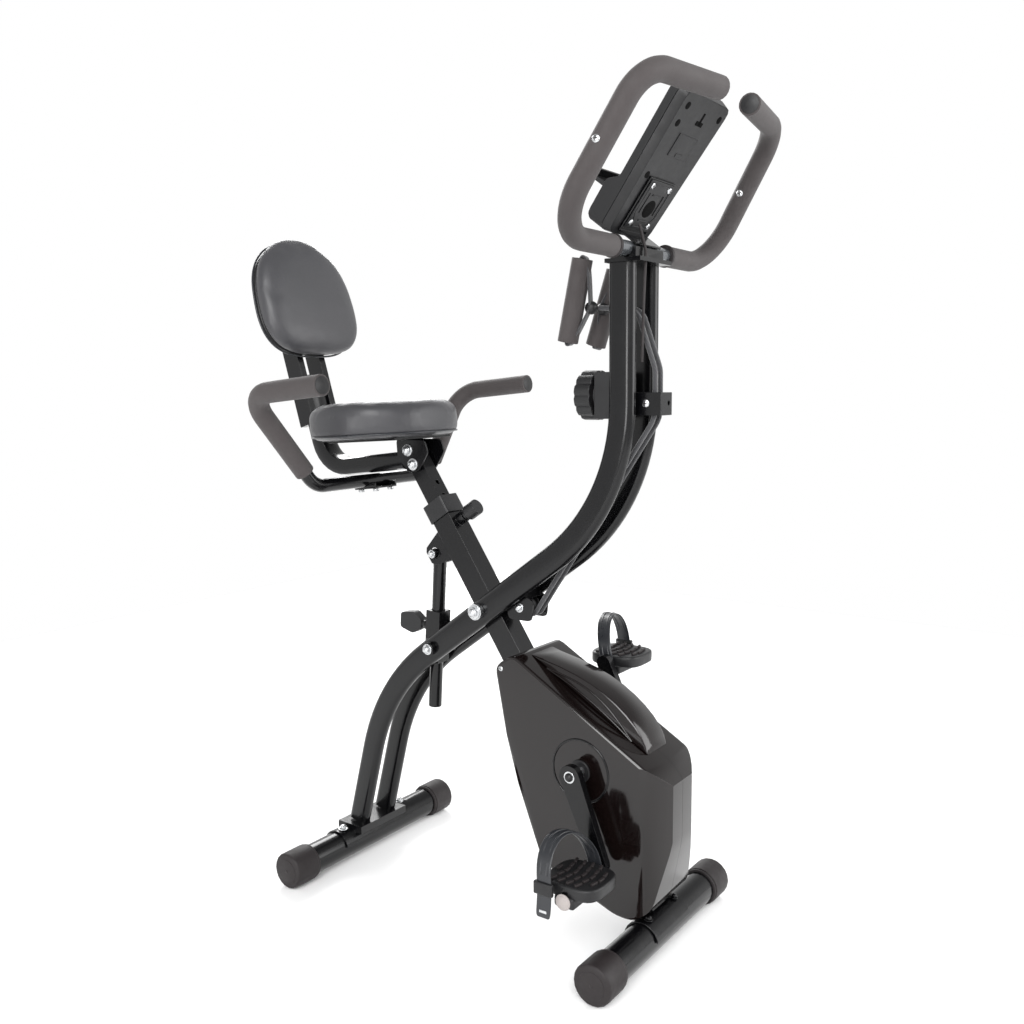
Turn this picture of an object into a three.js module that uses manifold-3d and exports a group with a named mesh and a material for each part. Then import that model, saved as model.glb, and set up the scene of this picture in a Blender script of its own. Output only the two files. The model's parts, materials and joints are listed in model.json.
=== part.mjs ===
// A folding exercise bike: a curved rear frame with the handlebar, crossed at a pivot by a straight
// front frame that carries the seat, the cranks and the flywheel housing.
// Millimetres. +X is the way the rider faces, +Y is the rider's left and +Z is up.
import * as THREE from 'three';
import { mergeVertices } from 'three/addons/utils/BufferGeometryUtils.js';
import Module from 'manifold-3d';

const wasm = await Module();
wasm.setup();

// ---- Driving dimensions -------------------------------------------------------------------------

const gap = 0.3; // between pieces that rest on each other
const running = 0.6; // round a shaft or a slide that moves

const wheelbase = 584; // between the two stabilisers
const stabiliserRadius = 25;
const capRadius = 30; // the rubber caps stand on the floor
const rearStabiliserLength = 400;
const frontStabiliserLength = 380;
const capLength = 46;
const capWall = 3;
const roundSides = 20; // of the stabilisers and what fits round them

const pivotX = 286; // the bolt that the two frames fold about
const pivotZ = 478;
const mainBoltRadius = 6;
const strutBoltRadius = 5;
const uprightSpacing = 65; // between the middles of the two curved tubes
const uprightWidth = 20; // flat oval tube, across the bike
const uprightDepth = 40; // flat oval tube, in its plane
const tubeWall = 2;
const uprightFootX = 6;
const uprightKneeX = 75;
const uprightKneeZ = 319;
const uprightKneeRadius = 340;
const uprightBendX = 538;
const uprightBendZ = 658;
const uprightBendRadius = 285;

const handlebarZ = 1013; // the straight cross tube of the handlebar
const handlebarX = 546;
const handlebarRadius = 11;
const gripRadius = 15;
const gripStart = 77; // half of the bare length in the middle
const hornHalfWidth = 221;
const hornTopX = 660;
const hornTopHalfWidth = 200;
const hornTopZ = 1195;
const hornTipX = 684;
const hornTipY = 47;
const hornTipZ = 1197;

const mainTube = 38; // square tube of the front frame
const mainTubeTop = 178; // above the pivot, along the tube
const postSize = 28; // square seat post
const postTop = 312;
const postBottom = 60;
const pinHeight = 150; // the seat post's pull pin, above the pivot

const crankX = 489;
const crankZ = 269;
const crankLength = 130;
const crankAngle = -1.176; // radians from +X, of the right crank
const crankInner = 84; // inner face of the crank arm, from the middle plane
const crankThickness = 12;
const housingHalfWidth = 65;
const housingWall = 2.5;
const finHalfWidth = 30;

const flywheelX = 525;
const flywheelZ = 178;
const flywheelRadius = 72;
const flywheelThickness = 20;
const flywheelInner = 24;
const pulleyRadius = 62;
const smallPulleyRadius = 14;
const beltY = -46; // the belt's middle plane
const beltWidth = 9;

const strutPivotX = 188;
const strutPivotZ = 404;
const strutTopX = 176.5;
const strutTopZ = 556;
const strutBottomX = 159;
const strutBottomZ = 291;
const strutRodRadius = 11;
const sleeveSize = 29;

const seatX = 63;
const seatBottomZ = 744;
const seatHeight = 58;
const seatHalfLength = 110;
const seatHalfWidth = 129;
const seatRound = 14; // how far the cushion's edge is rounded
const seatTilt = 0.06; // radians, nose up
const seatTubeWidth = 38; // flat tube under the seat, across the bike
const seatTubeDepth = 30;
const sideGripRadius = 16;
const sideTubeRadius = 11;
const backLean = 0.297; // radians, of the backrest and its posts
const backHalfWidth = 112;
const backHeight = 218;
const backPostWidth = 13;
const backPostDepth = 34;

// ---- Finishes -----------------------------------------------------------------------------------

const finish = (color, roughness, metalness) =>
  new THREE.MeshStandardMaterial({ color, roughness, metalness });
const paintedSteel = () => finish(0x17181a, 0.35, 0.4);
const moulded = () => finish(0x1b1c1e, 0.45, 0);
const glossShell = () => finish(0x141517, 0.2, 0);
const foam = () => finish(0x33353a, 0.9, 0);
const padCover = () => finish(0x3a3c41, 0.6, 0);
const zinc = () => finish(0xb8bcc0, 0.3, 1);
const castIron = () => finish(0x4a4c4f, 0.55, 0.9);
const rubber = () => finish(0x121212, 0.85, 0);
const glass = () => finish(0x0b1013, 0.08, 0);

// ---- Solids: joining and cutting ----------------------------------------------------------------

// Turns a closed geometry into a manifold solid.
function solidOf(geometry) {
  const plain = geometry.clone();
  plain.deleteAttribute('normal');
  plain.deleteAttribute('uv');
  const merged = geometry.userData.welded ? plain : mergeVertices(plain, 1e-3);
  const index = merged.index.array;
  const kept = [];
  for (let i = 0; i < index.length; i += 3) {
    const [a, b, c] = [index[i], index[i + 1], index[i + 2]];
    if (a !== b && b !== c && c !== a) kept.push(a, b, c);
  }
  const vertProperties = merged.attributes.position.array;
  return new wasm.Manifold(new wasm.Mesh({ numProp: 3, vertProperties, triVerts: new Uint32Array(kept) }));
}

// Turns a manifold solid back into a geometry.
function geometryOf(solid) {
  const mesh = solid.getMesh();
  const geometry = new THREE.BufferGeometry();
  geometry.setAttribute('position', new THREE.BufferAttribute(new Float32Array(mesh.vertProperties), 3));
  geometry.setIndex(new THREE.BufferAttribute(new Uint32Array(mesh.triVerts), 1));
  geometry.computeVertexNormals();
  geometry.userData.welded = true;
  return geometry;
}

const join = (...pieces) => geometryOf(pieces.map(solidOf).reduce((a, b) => a.add(b)));
const cut = (base, ...tools) => geometryOf(tools.map(solidOf).reduce((a, b) => a.subtract(b), solidOf(base)));
const common = (a, b) => geometryOf(solidOf(a).intersect(solidOf(b)));

// ---- Plain shapes -------------------------------------------------------------------------------

// A box between two corners.
function block(x0, x1, y0, y1, z0, z1) {
  const geometry = new THREE.BoxGeometry(x1 - x0, y1 - y0, z1 - z0);
  return geometry.translate((x0 + x1) / 2, (y0 + y1) / 2, (z0 + z1) / 2);
}

// Round rods along each axis, from one end to the other.
function rodY(radius, y0, y1, x, z, sides = 24) {
  return new THREE.CylinderGeometry(radius, radius, y1 - y0, sides).translate(x, (y0 + y1) / 2, z);
}
function rodX(radius, x0, x1, y, z, sides = 24) {
  const rod = new THREE.CylinderGeometry(radius, radius, x1 - x0, sides).rotateZ(Math.PI / 2);
  return rod.translate((x0 + x1) / 2, y, z);
}
function rodZ(radius, z0, z1, x, y, sides = 24) {
  const rod = new THREE.CylinderGeometry(radius, radius, z1 - z0, sides).rotateX(Math.PI / 2);
  return rod.translate(x, y, (z0 + z1) / 2);
}

// How thick an outline is made, and how far its edges are rounded inside that thickness.
function thickness(depth, curveSegments, bevel) {
  const rounding = { bevelSize: bevel, bevelThickness: bevel, bevelOffset: -bevel, bevelSegments: 2 };
  return { depth: depth - 2 * bevel, curveSegments, bevelEnabled: bevel > 0, ...rounding };
}

// An outline in the XZ plane, given a thickness along Y.
function plateY(shape, y0, y1, curveSegments = 6, bevel = 0) {
  const plate = new THREE.ExtrudeGeometry(shape, thickness(y1 - y0, curveSegments, bevel));
  return plate.rotateX(Math.PI / 2).translate(0, y1 - bevel, 0);
}

// An outline in the XY plane, given a height.
function plateZ(shape, z0, z1, curveSegments = 3) {
  const plain = { depth: z1 - z0, curveSegments, bevelEnabled: false };
  return new THREE.ExtrudeGeometry(shape, plain).translate(0, 0, z0);
}

// A slab lying in the YZ plane between two X values, from an outline drawn as (y, z).
function slabX(shape, x0, x1, curveSegments = 3, bevel = 0) {
  const slab = new THREE.ExtrudeGeometry(shape, thickness(x1 - x0, curveSegments, bevel));
  return slab.rotateX(Math.PI / 2).rotateZ(Math.PI / 2).translate(x0 + bevel, 0, 0);
}

// The same, with the outline drawn in evenly towards the far face.
function taperedSlab(shape, x0, x1, farWidth, farHeight, curveSegments = 3) {
  const slab = slabX(shape, x0, x1, curveSegments);
  const position = slab.attributes.position;
  for (let i = 0; i < position.count; i++) {
    const t = (position.getX(i) - x0) / (x1 - x0);
    position.setY(i, position.getY(i) * (1 + t * (farWidth - 1)));
    position.setZ(i, position.getZ(i) * (1 + t * (farHeight - 1)));
  }
  return slab;
}

// A closed outline through corners, each rounded by its own radius.
function roundedOutline(corners, radius) {
  const shape = new THREE.Shape();
  const count = corners.length;
  corners.forEach(([x, y, own], i) => {
    const at = new THREE.Vector2(x, y);
    const before = new THREE.Vector2(...corners[(i + count - 1) % count]);
    const after = new THREE.Vector2(...corners[(i + 1) % count]);
    const reach = own ?? radius;
    const start = before.sub(at).setLength(reach).add(at);
    const end = after.sub(at).setLength(reach).add(at);
    if (i === 0) shape.moveTo(start.x, start.y);
    else shape.lineTo(start.x, start.y);
    shape.quadraticCurveTo(at.x, at.y, end.x, end.y);
  });
  shape.closePath();
  return shape;
}

// A rectangle with rounded corners round the origin.
function roundedRectangle(width, height, radius) {
  const [w, h] = [width / 2, height / 2];
  return roundedOutline([[w, -h], [w, h], [-w, h], [-w, -h]], radius);
}

function circle(radius) {
  return new THREE.Shape().absarc(0, 0, radius, 0, 2 * Math.PI);
}

// A flat oval section, lying with its long side along the second axis.
function flatOval(width, depth) {
  const r = width / 2;
  const shape = new THREE.Shape();
  shape.absarc(0, depth / 2 - r, r, 0, Math.PI);
  shape.absarc(0, r - depth / 2, r, Math.PI, 2 * Math.PI);
  return shape;
}

// Adds a hole of another section's outline.
function hollow(outer, inner) {
  outer.holes.push(inner);
  return outer;
}

// ---- Paths: straight runs joined by arcs --------------------------------------------------------

// A section is set at each end of every straight run and at even steps round every bend.
class BentPath extends THREE.Curve {
  constructor(stations) {
    super();
    this.stations = stations;
    this.steps = stations.length - 1;
  }
  getPoint(t, target = new THREE.Vector3()) {
    const at = t * this.steps;
    const before = Math.min(Math.floor(at + 1e-9), this.steps - 1);
    return target.lerpVectors(this.stations[before].point, this.stations[before + 1].point, at - before);
  }
  getPointAt(u, target = new THREE.Vector3()) {
    return this.getPoint(u, target);
  }
  getTangentAt(u, target = new THREE.Vector3()) {
    return target.copy(this.stations[Math.round(u * this.steps)].heading);
  }
}

// corners: [x, y, z, bend radius]; the first and the last are the ends. turn: radians for each step.
function filletedPath(corners, turn = 0.2) {
  const points = corners.map(([x, y, z]) => new THREE.Vector3(x, y, z));
  const last = points.length - 1;
  const heading = (i) => points[i + 1].clone().sub(points[i]).normalize();
  const stations = [{ point: points[0], heading: heading(0) }];
  for (let i = 1; i < last; i++) {
    const from = heading(i - 1);
    const to = heading(i);
    const angle = from.angleTo(to);
    const radius = corners[i][3];
    const inward = to.clone().sub(from).normalize();
    const centre = points[i].clone().addScaledVector(inward, radius / Math.cos(angle / 2));
    const bendStart = points[i].clone().addScaledVector(from, -radius * Math.tan(angle / 2));
    const outward = bendStart.sub(centre).normalize();
    const steps = Math.ceil(angle / turn);
    for (let k = 0; k <= steps; k++) {
      const a = (angle * k) / steps;
      const point = centre.clone().addScaledVector(outward, radius * Math.cos(a));
      point.addScaledVector(from, radius * Math.sin(a));
      const along = from.clone().multiplyScalar(Math.cos(a)).addScaledVector(outward, -Math.sin(a));
      stations.push({ point, heading: along });
    }
  }
  stations.push({ point: points[last], heading: heading(last - 1) });
  return new BentPath(stations);
}

// Sweeps a section along a path.
function sweep(section, path, curveSegments) {
  return new THREE.ExtrudeGeometry(section, { steps: path.steps, extrudePath: path, curveSegments });
}

// ---- The scene graph ----------------------------------------------------------------------------

const group = new THREE.Group();
const model = new THREE.Group(); // X from the rear stabiliser, Z from the floor
group.add(model);

function add(parent, name, geometry, material, x = 0, y = 0, z = 0) {
  const mesh = new THREE.Mesh(geometry, material);
  mesh.name = name;
  mesh.position.set(x, y, z);
  parent.add(mesh);
  return mesh;
}

const sides = [['right', -1], ['left', 1]];

// ---- Stabilisers --------------------------------------------------------------------------------

function stabiliserTube(length) {
  const half = length / 2 - capWall - gap;
  const bore = rodY(stabiliserRadius - tubeWall, -half - 1, half + 1, 0, 0, roundSides);
  return cut(rodY(stabiliserRadius, -half, half, 0, 0, roundSides), bore);
}

// A cap that slides over the tube's end, with a rounded rim; its closed end is at y = 0.
function stabiliserCap(side) {
  const inner = stabiliserRadius + gap;
  const round = 4;
  const profile = new THREE.Path();
  profile.moveTo(0, 0);
  profile.lineTo(capRadius - round, 0);
  profile.absarc(capRadius - round, round, round, -Math.PI / 2, 0);
  profile.lineTo(capRadius, capLength);
  profile.lineTo(inner, capLength);
  profile.lineTo(inner, capWall);
  profile.lineTo(0, capWall);
  const cap = new THREE.LatheGeometry(profile.getPoints(1), roundSides);
  return side > 0 ? cap.rotateX(Math.PI) : cap;
}

function addStabiliser(name, x, length) {
  add(model, `${name}_stabiliser_tube`, stabiliserTube(length), paintedSteel(), x, 0, capRadius);
  for (const [label, side] of sides) {
    add(model, `${name}_end_cap_${label}`, stabiliserCap(side), rubber(), x, (side * length) / 2, capRadius);
  }
}
addStabiliser('rear', 0, rearStabiliserLength);
addStabiliser('front', wheelbase, frontStabiliserLength);

// A plate bent over the stabiliser, which the frame tubes stand on.
const saddleThickness = 3;
function saddlePlate(halfWidth) {
  const outer = rodY(stabiliserRadius + gap + saddleThickness, -halfWidth, halfWidth, 0, 0, roundSides);
  const bore = rodY(stabiliserRadius + gap, -halfWidth - 1, halfWidth + 1, 0, 0, roundSides);
  const lower = block(-capRadius * 2, capRadius * 2, -halfWidth - 1, halfWidth + 1, -capRadius * 2, 4);
  return cut(outer, bore, lower);
}
const saddleTop = capRadius + stabiliserRadius + gap + saddleThickness;
const rearSaddleHalfWidth = 86;
const rearPad = block(-22, 34, -rearSaddleHalfWidth + 28, rearSaddleHalfWidth - 28, 20, 33);
const rearSaddle = cut(
  join(saddlePlate(rearSaddleHalfWidth), rearPad),
  rodY(stabiliserRadius + gap, -rearSaddleHalfWidth - 1, rearSaddleHalfWidth + 1, 0, 0, roundSides),
);
add(model, 'rear_saddle_bracket', rearSaddle, paintedSteel(), 0, 0, capRadius);
const uprightFootZ = capRadius + 33 + gap;

// ---- Curved uprights ----------------------------------------------------------------------------

const uprightTopZ = handlebarZ - 18;
const uprightBottomHalf = uprightSpacing / 2 - uprightWidth / 2; // inner faces of the two tubes
const uprightOuter = uprightSpacing / 2 + uprightWidth / 2;

function uprightTube(y) {
  const path = filletedPath([
    [uprightFootX - 10, y, uprightFootZ - 38],
    [uprightKneeX, y, uprightKneeZ, uprightKneeRadius],
    [uprightBendX, y, uprightBendZ, uprightBendRadius],
    [uprightBendX, y, uprightTopZ],
  ], 0.16);
  const section = hollow(
    flatOval(uprightWidth, uprightDepth),
    flatOval(uprightWidth - 2 * tubeWall, uprightDepth - 2 * tubeWall),
  );
  const tube = sweep(section, path, 2);
  const floor = block(-90, 90, y - 30, y + 30, -60, uprightFootZ);
  const pivotHole = rodY(mainBoltRadius + gap, y - 30, y + 30, pivotX, pivotZ, 16);
  const strutHole = rodY(strutBoltRadius + running, y - 30, y + 30, strutPivotX, strutPivotZ, 16);
  return cut(tube, floor, pivotHole, strutHole);
}
for (const [label, side] of sides) {
  add(model, `upright_${label}`, uprightTube((side * uprightSpacing) / 2), paintedSteel());
}

// Main pivot: one bolt through both uprights and the front frame, with a head and a nut.
const boltHead = rodY(13, -uprightOuter - gap - 9, -uprightOuter - gap, 0, 0, 24);
const boltNut = rodY(12, uprightOuter + gap, uprightOuter + gap + 10, 0, 0, 6);
const boltShank = rodY(mainBoltRadius, -uprightOuter - 5, uprightOuter + 5, 0, 0, 16);
add(model, 'main_pivot_bolt', join(boltHead, boltShank, boltNut), zinc(), pivotX, 0, pivotZ);

// ---- Handlebar ----------------------------------------------------------------------------------

const barSides = 5; // half the number of sides of each round section
const barTurn = 0.32; // radians of bend for each step
function hornPath(side) {
  return filletedPath([
    [handlebarX, side * gripStart, handlebarZ],
    [handlebarX, side * hornHalfWidth, handlebarZ, 62],
    [hornTopX, side * hornTopHalfWidth, hornTopZ, 50],
    [hornTipX, side * hornTipY, hornTipZ],
  ], barTurn);
}
const barTube = (side) => sweep(circle(handlebarRadius), hornPath(side), barSides);
const barMiddle = rodY(handlebarRadius, -gripStart - 6, gripStart + 6, handlebarX, handlebarZ, 16);
add(model, 'handlebar_tube', join(barMiddle, barTube(-1), barTube(1)), paintedSteel());
for (const [label, side] of sides) {
  const section = hollow(circle(gripRadius), circle(handlebarRadius + gap + 0.5));
  const sleeve = sweep(section, hornPath(side), barSides);
  const clearance = rodY(
    handlebarRadius + gap + 0.5, -gripStart - 8, gripStart + 8, handlebarX, handlebarZ, 20);
  add(model, `handlebar_grip_${label}`, cut(sleeve, clearance), foam());
}

const cableSide = 19; // the two cables run inside the uprights, one on each side
const cableClampX = 565.5;
// Clamp plate on the two upright tubes, with the cradle that holds the cross tube.
const clampPlate = block(516, 572, -uprightOuter - 3, uprightOuter + 3, uprightTopZ + gap, uprightTopZ + 6);
const cradle = block(530, 562, -40, 40, uprightTopZ + 5, handlebarZ + 2);
const cradleBore = rodY(handlebarRadius + gap, -50, 50, handlebarX, handlebarZ, 20);
const clampCableHole = rodZ(4.5, uprightTopZ - 1, uprightTopZ + 8, cableClampX, -cableSide, 16);
add(model, 'handlebar_clamp', cut(join(clampPlate, cradle), cradleBore, clampCableHole), paintedSteel());

// ---- Console ------------------------------------------------------------------------------------
// In the console's own frame X is away from the rider, Z is up the panel and X = 0 is the back face.

const consoleTilt = 0.65; // radians that the panel leans forward
const consoleHeight = 212;
const consoleWidth = 132;
const consoleNarrowing = 0.87; // the bottom's width against the top's
const consoleGroup = new THREE.Group();
consoleGroup.position.set(589, 0, 1116);
consoleGroup.rotation.y = consoleTilt;
model.add(consoleGroup);

// The panel's outline: a little narrower at the bottom than at the top.
function panelOutline(inset, radius) {
  const half = consoleWidth / 2 - inset;
  const tall = consoleHeight / 2 - inset;
  const foot = half * consoleNarrowing;
  return roundedOutline([[foot, -tall], [half, tall], [-half, tall], [-foot, -tall]], radius);
}
const backDepth = 14;
const backWall = 2.5;
const backOuter = taperedSlab(panelOutline(0, 14), -backDepth, 0, 0.95, 0.965);
const backInner = taperedSlab(panelOutline(backWall, 12), -backDepth - 1, -backWall, 0.95, 0.965);
const cableHoleZ = -58;
const cableHole = rodX(9, -12, 12, 0, cableHoleZ, 16);
add(consoleGroup, 'console_back_shell', cut(backOuter, backInner, cableHole), moulded());

// The bezel is thin behind the screen and thick below the ledge.
const bezelBack = -backDepth - gap;
const upperFace = bezelBack - 12;
const lowerFace = bezelBack - 28;
const ledgeZ = -38;
const halfHeight = consoleHeight / 2;
const bezelSide = roundedOutline([
  [bezelBack, -halfHeight, 1], [lowerFace, -halfHeight, 10], [lowerFace, ledgeZ - 8, 4],
  [upperFace, ledgeZ + 4, 4], [upperFace, halfHeight, 5], [bezelBack, halfHeight, 1]], 4);
const bezelSolid = common(plateY(bezelSide, -consoleWidth / 2, consoleWidth / 2, 2),
  slabX(panelOutline(0, 16), lowerFace - 1, bezelBack, 3));
const screenWidth = 92;
const screenHeight = 62;
const screenZ = 32;
const screenPocket = block(upperFace - 1, upperFace + 4, -screenWidth / 2, screenWidth / 2,
  screenZ - screenHeight / 2, screenZ + screenHeight / 2);
const buttonZ = -74;
const buttonRadius = 9;
const buttonBore = rodX(buttonRadius + running, lowerFace - 1, bezelBack + 1, 0, buttonZ, 20);
add(consoleGroup, 'console_bezel', cut(bezelSolid, screenPocket, buttonBore), glossShell());
const screenPane = block(upperFace + 0.5, upperFace + 4 - gap, -screenWidth / 2 + gap, screenWidth / 2 - gap,
  screenZ - screenHeight / 2 + gap, screenZ + screenHeight / 2 - gap);
add(consoleGroup, 'console_screen', screenPane, glass());
const buttonCap = rodX(buttonRadius, lowerFace - 3, lowerFace + 9, 0, buttonZ, 20);
add(consoleGroup, 'console_button', buttonCap, moulded());
const ledgeHalf = consoleWidth / 2 - 8;
const ledgeDepth = 22;
const ledge = join(
  block(lowerFace - ledgeDepth, lowerFace - gap, -ledgeHalf, ledgeHalf, ledgeZ - 20, ledgeZ - 14),
  block(lowerFace - ledgeDepth, lowerFace - ledgeDepth + 5, -ledgeHalf, ledgeHalf, ledgeZ - 20, ledgeZ - 4),
);
add(consoleGroup, 'tablet_rest', ledge, moulded());

// The bracket stands on the cross tube and is screwed to the lower half of the back.
consoleGroup.updateMatrixWorld(true);
const barInConsole = consoleGroup.worldToLocal(new THREE.Vector3(handlebarX, 0, handlebarZ));
const tongueZ = barInConsole.z + handlebarRadius + gap;
const plate = block(gap, 3 + gap, -36, 36, tongueZ, -14);
const tongue = block(gap, barInConsole.x + 8, -36, 36, tongueZ, tongueZ + 3);
const plateHole = rodX(20, -5, 10, 0, cableHoleZ, 20);
add(consoleGroup, 'console_bracket', cut(join(plate, tongue), plateHole), paintedSteel());

// ---- Tension knob and rope bracket between the uprights -----------------------------------------

const knobZ = 814;
const knobRadius = 36;
const knobBaseX = 490;
const uprightRear = uprightBendX - uprightDepth / 2;
const knobBase = block(knobBaseX, uprightRear - 1, -29, 29, knobZ - 33, knobZ + 33);
const knobShaftBore = rodX(5 + running, knobBaseX - 1, knobBaseX + 16, 0, knobZ, 16);
add(model, 'tension_knob_base', cut(knobBase, knobShaftBore), moulded());

function knobOutline() {
  const flutes = 12;
  const shape = new THREE.Shape();
  for (let i = 0; i < flutes * 4; i++) {
    const angle = (i / (flutes * 4)) * 2 * Math.PI;
    const r = i % 4 === 0 ? knobRadius - 2.4 : knobRadius;
    if (i === 0) shape.moveTo(r, 0);
    else shape.lineTo(r * Math.cos(angle), r * Math.sin(angle));
  }
  return shape;
}
const knobHead = slabX(knobOutline(), knobBaseX - 31, knobBaseX - 5, 1).translate(0, 0, knobZ);
const knobNeck = rodX(24, knobBaseX - 6, knobBaseX - gap, 0, knobZ, 24);
const knobShaft = rodX(5, knobBaseX - 2, knobBaseX + 15, 0, knobZ, 16);
add(model, 'tension_knob', join(knobHead, knobNeck, knobShaft), moulded());

// A strap bent round the front, open above and below for the ropes.
const ropeBracketFront = 590;
const ropeBracketHalf = 16.5;
const strapOuter = block(
  uprightRear, ropeBracketFront, -ropeBracketHalf, ropeBracketHalf, knobZ - 28, knobZ + 4);
const strapInner = block(uprightRear + 3, ropeBracketFront - 3, -ropeBracketHalf + 3, ropeBracketHalf - 3,
  knobZ - 40, knobZ + 20);
const earHole = rodX(3.5, ropeBracketFront - 10, ropeBracketFront + 10, 7, knobZ - 11, 12);
add(model, 'rope_bracket', cut(strapOuter, strapInner, earHole), paintedSteel());

// ---- Lower rope pulley --------------------------------------------------------------------------

const ropePulleyX = 352;
const ropePulleyZ = 488;
const ropePulleyRadius = 14;
const bracketHalf = uprightBottomHalf - gap;
const pulleyPlate = roundedOutline([[-22, -20], [22, -20], [26, 12], [-4, 26], [-26, 8]], 7);
const bracketSolid = plateY(pulleyPlate, -bracketHalf, bracketHalf, 2);
const slotOutline = roundedOutline([[-40, -40], [40, -40], [40, 16], [-40, 16]], 1);
const bracketSlot = plateY(slotOutline, 3 - bracketHalf, bracketHalf - 3, 1);
const pulleyBracket = join(cut(bracketSolid, bracketSlot), rodY(4.2, -bracketHalf, bracketHalf, 0, 0, 14));
add(model, 'lower_pulley_bracket', pulleyBracket, paintedSteel(), ropePulleyX, 0, ropePulleyZ);
const pulleyProfile = new THREE.Path();
pulleyProfile.moveTo(4.2 + running, -14);
[[ropePulleyRadius, -14], [ropePulleyRadius, -12.5], [8, -12], [8, -4], [ropePulleyRadius, -3.5],
  [ropePulleyRadius, 3.5], [8, 4], [8, 12], [ropePulleyRadius, 12.5], [ropePulleyRadius, 14],
  [4.2 + running, 14], [4.2 + running, -14]]
  .forEach(([r, y]) => pulleyProfile.lineTo(r, y));
add(model, 'rope_pulley', new THREE.LatheGeometry(pulleyProfile.getPoints(1), 14), moulded(),
  ropePulleyX, 0, ropePulleyZ);

// ---- Exercise ropes and their handles -----------------------------------------------------------

const ropeRadius = 3.5;
const ropeY = 8;
const ropeStartX = 478;
const ropeStartZ = 938;
const ropeTopX = 576;
const ropeTopZ = 782;
const wrapRadius = 8 + ropeRadius + gap; // of the rope's middle, round the lower pulley
const dropX = ropeTopX - ropePulleyX;
const dropZ = ropeTopZ - ropePulleyZ;
const dropAngle = Math.atan2(dropZ, dropX) + Math.asin(wrapRadius / Math.hypot(dropX, dropZ));
for (const [label, side] of sides) {
  const y = side * ropeY;
  const route = filletedPath([
    [ropeStartX + 8, y, ropeStartZ],
    [546, y, ropeStartZ - 4, 24],
    [ropeTopX, y, 850, 40],
    [ropeTopX, y, ropeTopZ, 40],
    [ropePulleyX + wrapRadius * Math.tan(dropAngle / 2), y, ropePulleyZ - wrapRadius, wrapRadius],
    [ropePulleyX - 24, y, ropePulleyZ - wrapRadius],
  ], 0.3);
  add(model, `exercise_rope_${label}`, sweep(circle(ropeRadius), route, 4), rubber());
}

// A foam grip on a webbing loop; the loop's ring end is at the rope.
function ropeHandle(topX, topZ, bottomX, bottomZ, y) {
  const axis = new THREE.Vector2(topX - bottomX, topZ - bottomZ);
  const length = axis.length();
  const lean = Math.atan2(axis.x, axis.y);
  const place = (g) => g.rotateY(lean).translate((topX + bottomX) / 2, y, (topZ + bottomZ) / 2);
  const foamBore = rodZ(9.5, -length / 2 - 1, length / 2 + 1, 0, 0, 12);
  const grip = cut(rodZ(15, -length / 2, length / 2, 0, 0, 14), foamBore);
  const half = length / 2;
  const reach = 25; // from the grip's axis out to the ring
  const loop = roundedOutline(
    [[-2.5, -half - 5], [6, -half - 5], [reach, -8], [reach, 8], [6, half + 5], [-2.5, half + 5]], 2);
  const inside = roundedOutline(
    [[2.5, -half - 1], [5, -half - 1], [reach - 4, -6], [reach - 4, 6], [5, half + 1], [2.5, half + 1]], 0.8);
  loop.holes.push(inside);
  const strap = plateY(loop, -9, 9, 1);
  const filler = rodZ(10, -6, 6, 0, 0, 12);
  return [place(grip), place(strap), place(filler)];
}
const rightHandle = ropeHandle(470, 1006, 445, 890, -28);
const leftHandle = ropeHandle(493, 992, 458, 886, 28);
const ropeBall = (y) => new THREE.SphereGeometry(8, 10, 6).translate(ropeStartX, y, ropeStartZ);
const ropeLink = (y0, y1) => block(ropeStartX - 4, ropeStartX + 4, y0, y1, ropeStartZ - 5, ropeStartZ + 5);
const rightEnd = [ropeBall(-ropeY - 9), ropeLink(-28, -ropeY - 6)];
const leftEnd = [ropeBall(ropeY + 9), ropeLink(ropeY + 6, 28)];
add(model, 'rope_handle_right', join(...rightHandle, ...rightEnd), foam());
add(model, 'rope_handle_left', join(...leftHandle, ...leftEnd), foam());

// ---- Cables -------------------------------------------------------------------------------------

const consoleRoute = filletedPath([
  [556, -cableSide, 1046],
  [566, -cableSide, 1010, 20],
  [563, -cableSide, 940, 60],
  [561, -cableSide, 860],
]);
add(model, 'console_cable', sweep(circle(2), consoleRoute, 4), rubber());
const tensionRoute = filletedPath([
  [508, cableSide, knobZ - 33 - gap],
  [508, cableSide, 740, 40],
  [486, cableSide, 690, 60],
  [440, cableSide, 640],
]);
add(model, 'tension_cable', sweep(circle(2), tensionRoute, 4), rubber());

// ---- Lock strut between the frames --------------------------------------------------------------
// In the strut's own frame Z runs up the rod, and the origin is at the rod's top bolt.

const strutLean = Math.atan2(strutTopX - strutBottomX, strutTopZ - strutBottomZ);
const rodLength = Math.hypot(strutTopX - strutBottomX, strutTopZ - strutBottomZ);
const strut = new THREE.Group();
strut.position.set(strutTopX, 0, strutTopZ);
strut.rotation.y = strutLean;
model.add(strut);
strut.updateMatrixWorld(true);
const sleevePivot = strut.worldToLocal(new THREE.Vector3(strutPivotX, 0, strutPivotZ));

const topBoltRadius = 4;
const lugInner = strutRodRadius + 0.8;
const lugThickness = 3;
const rodBody = rodZ(strutRodRadius, -rodLength, 8, 0, 0, 20);
const topBolt = rodY(topBoltRadius, -lugInner - lugThickness - 1, lugInner + lugThickness + 1, 0, 0, 12);
const topHead = rodY(8, -lugInner - lugThickness - 7, -lugInner - lugThickness - gap, 0, 0, 20);
const topNut = rodY(7.5, lugInner + lugThickness + gap, lugInner + lugThickness + 7, 0, 0, 6);
add(strut, 'strut_rod', join(rodBody, topBolt, topHead, topNut), paintedSteel());

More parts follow.
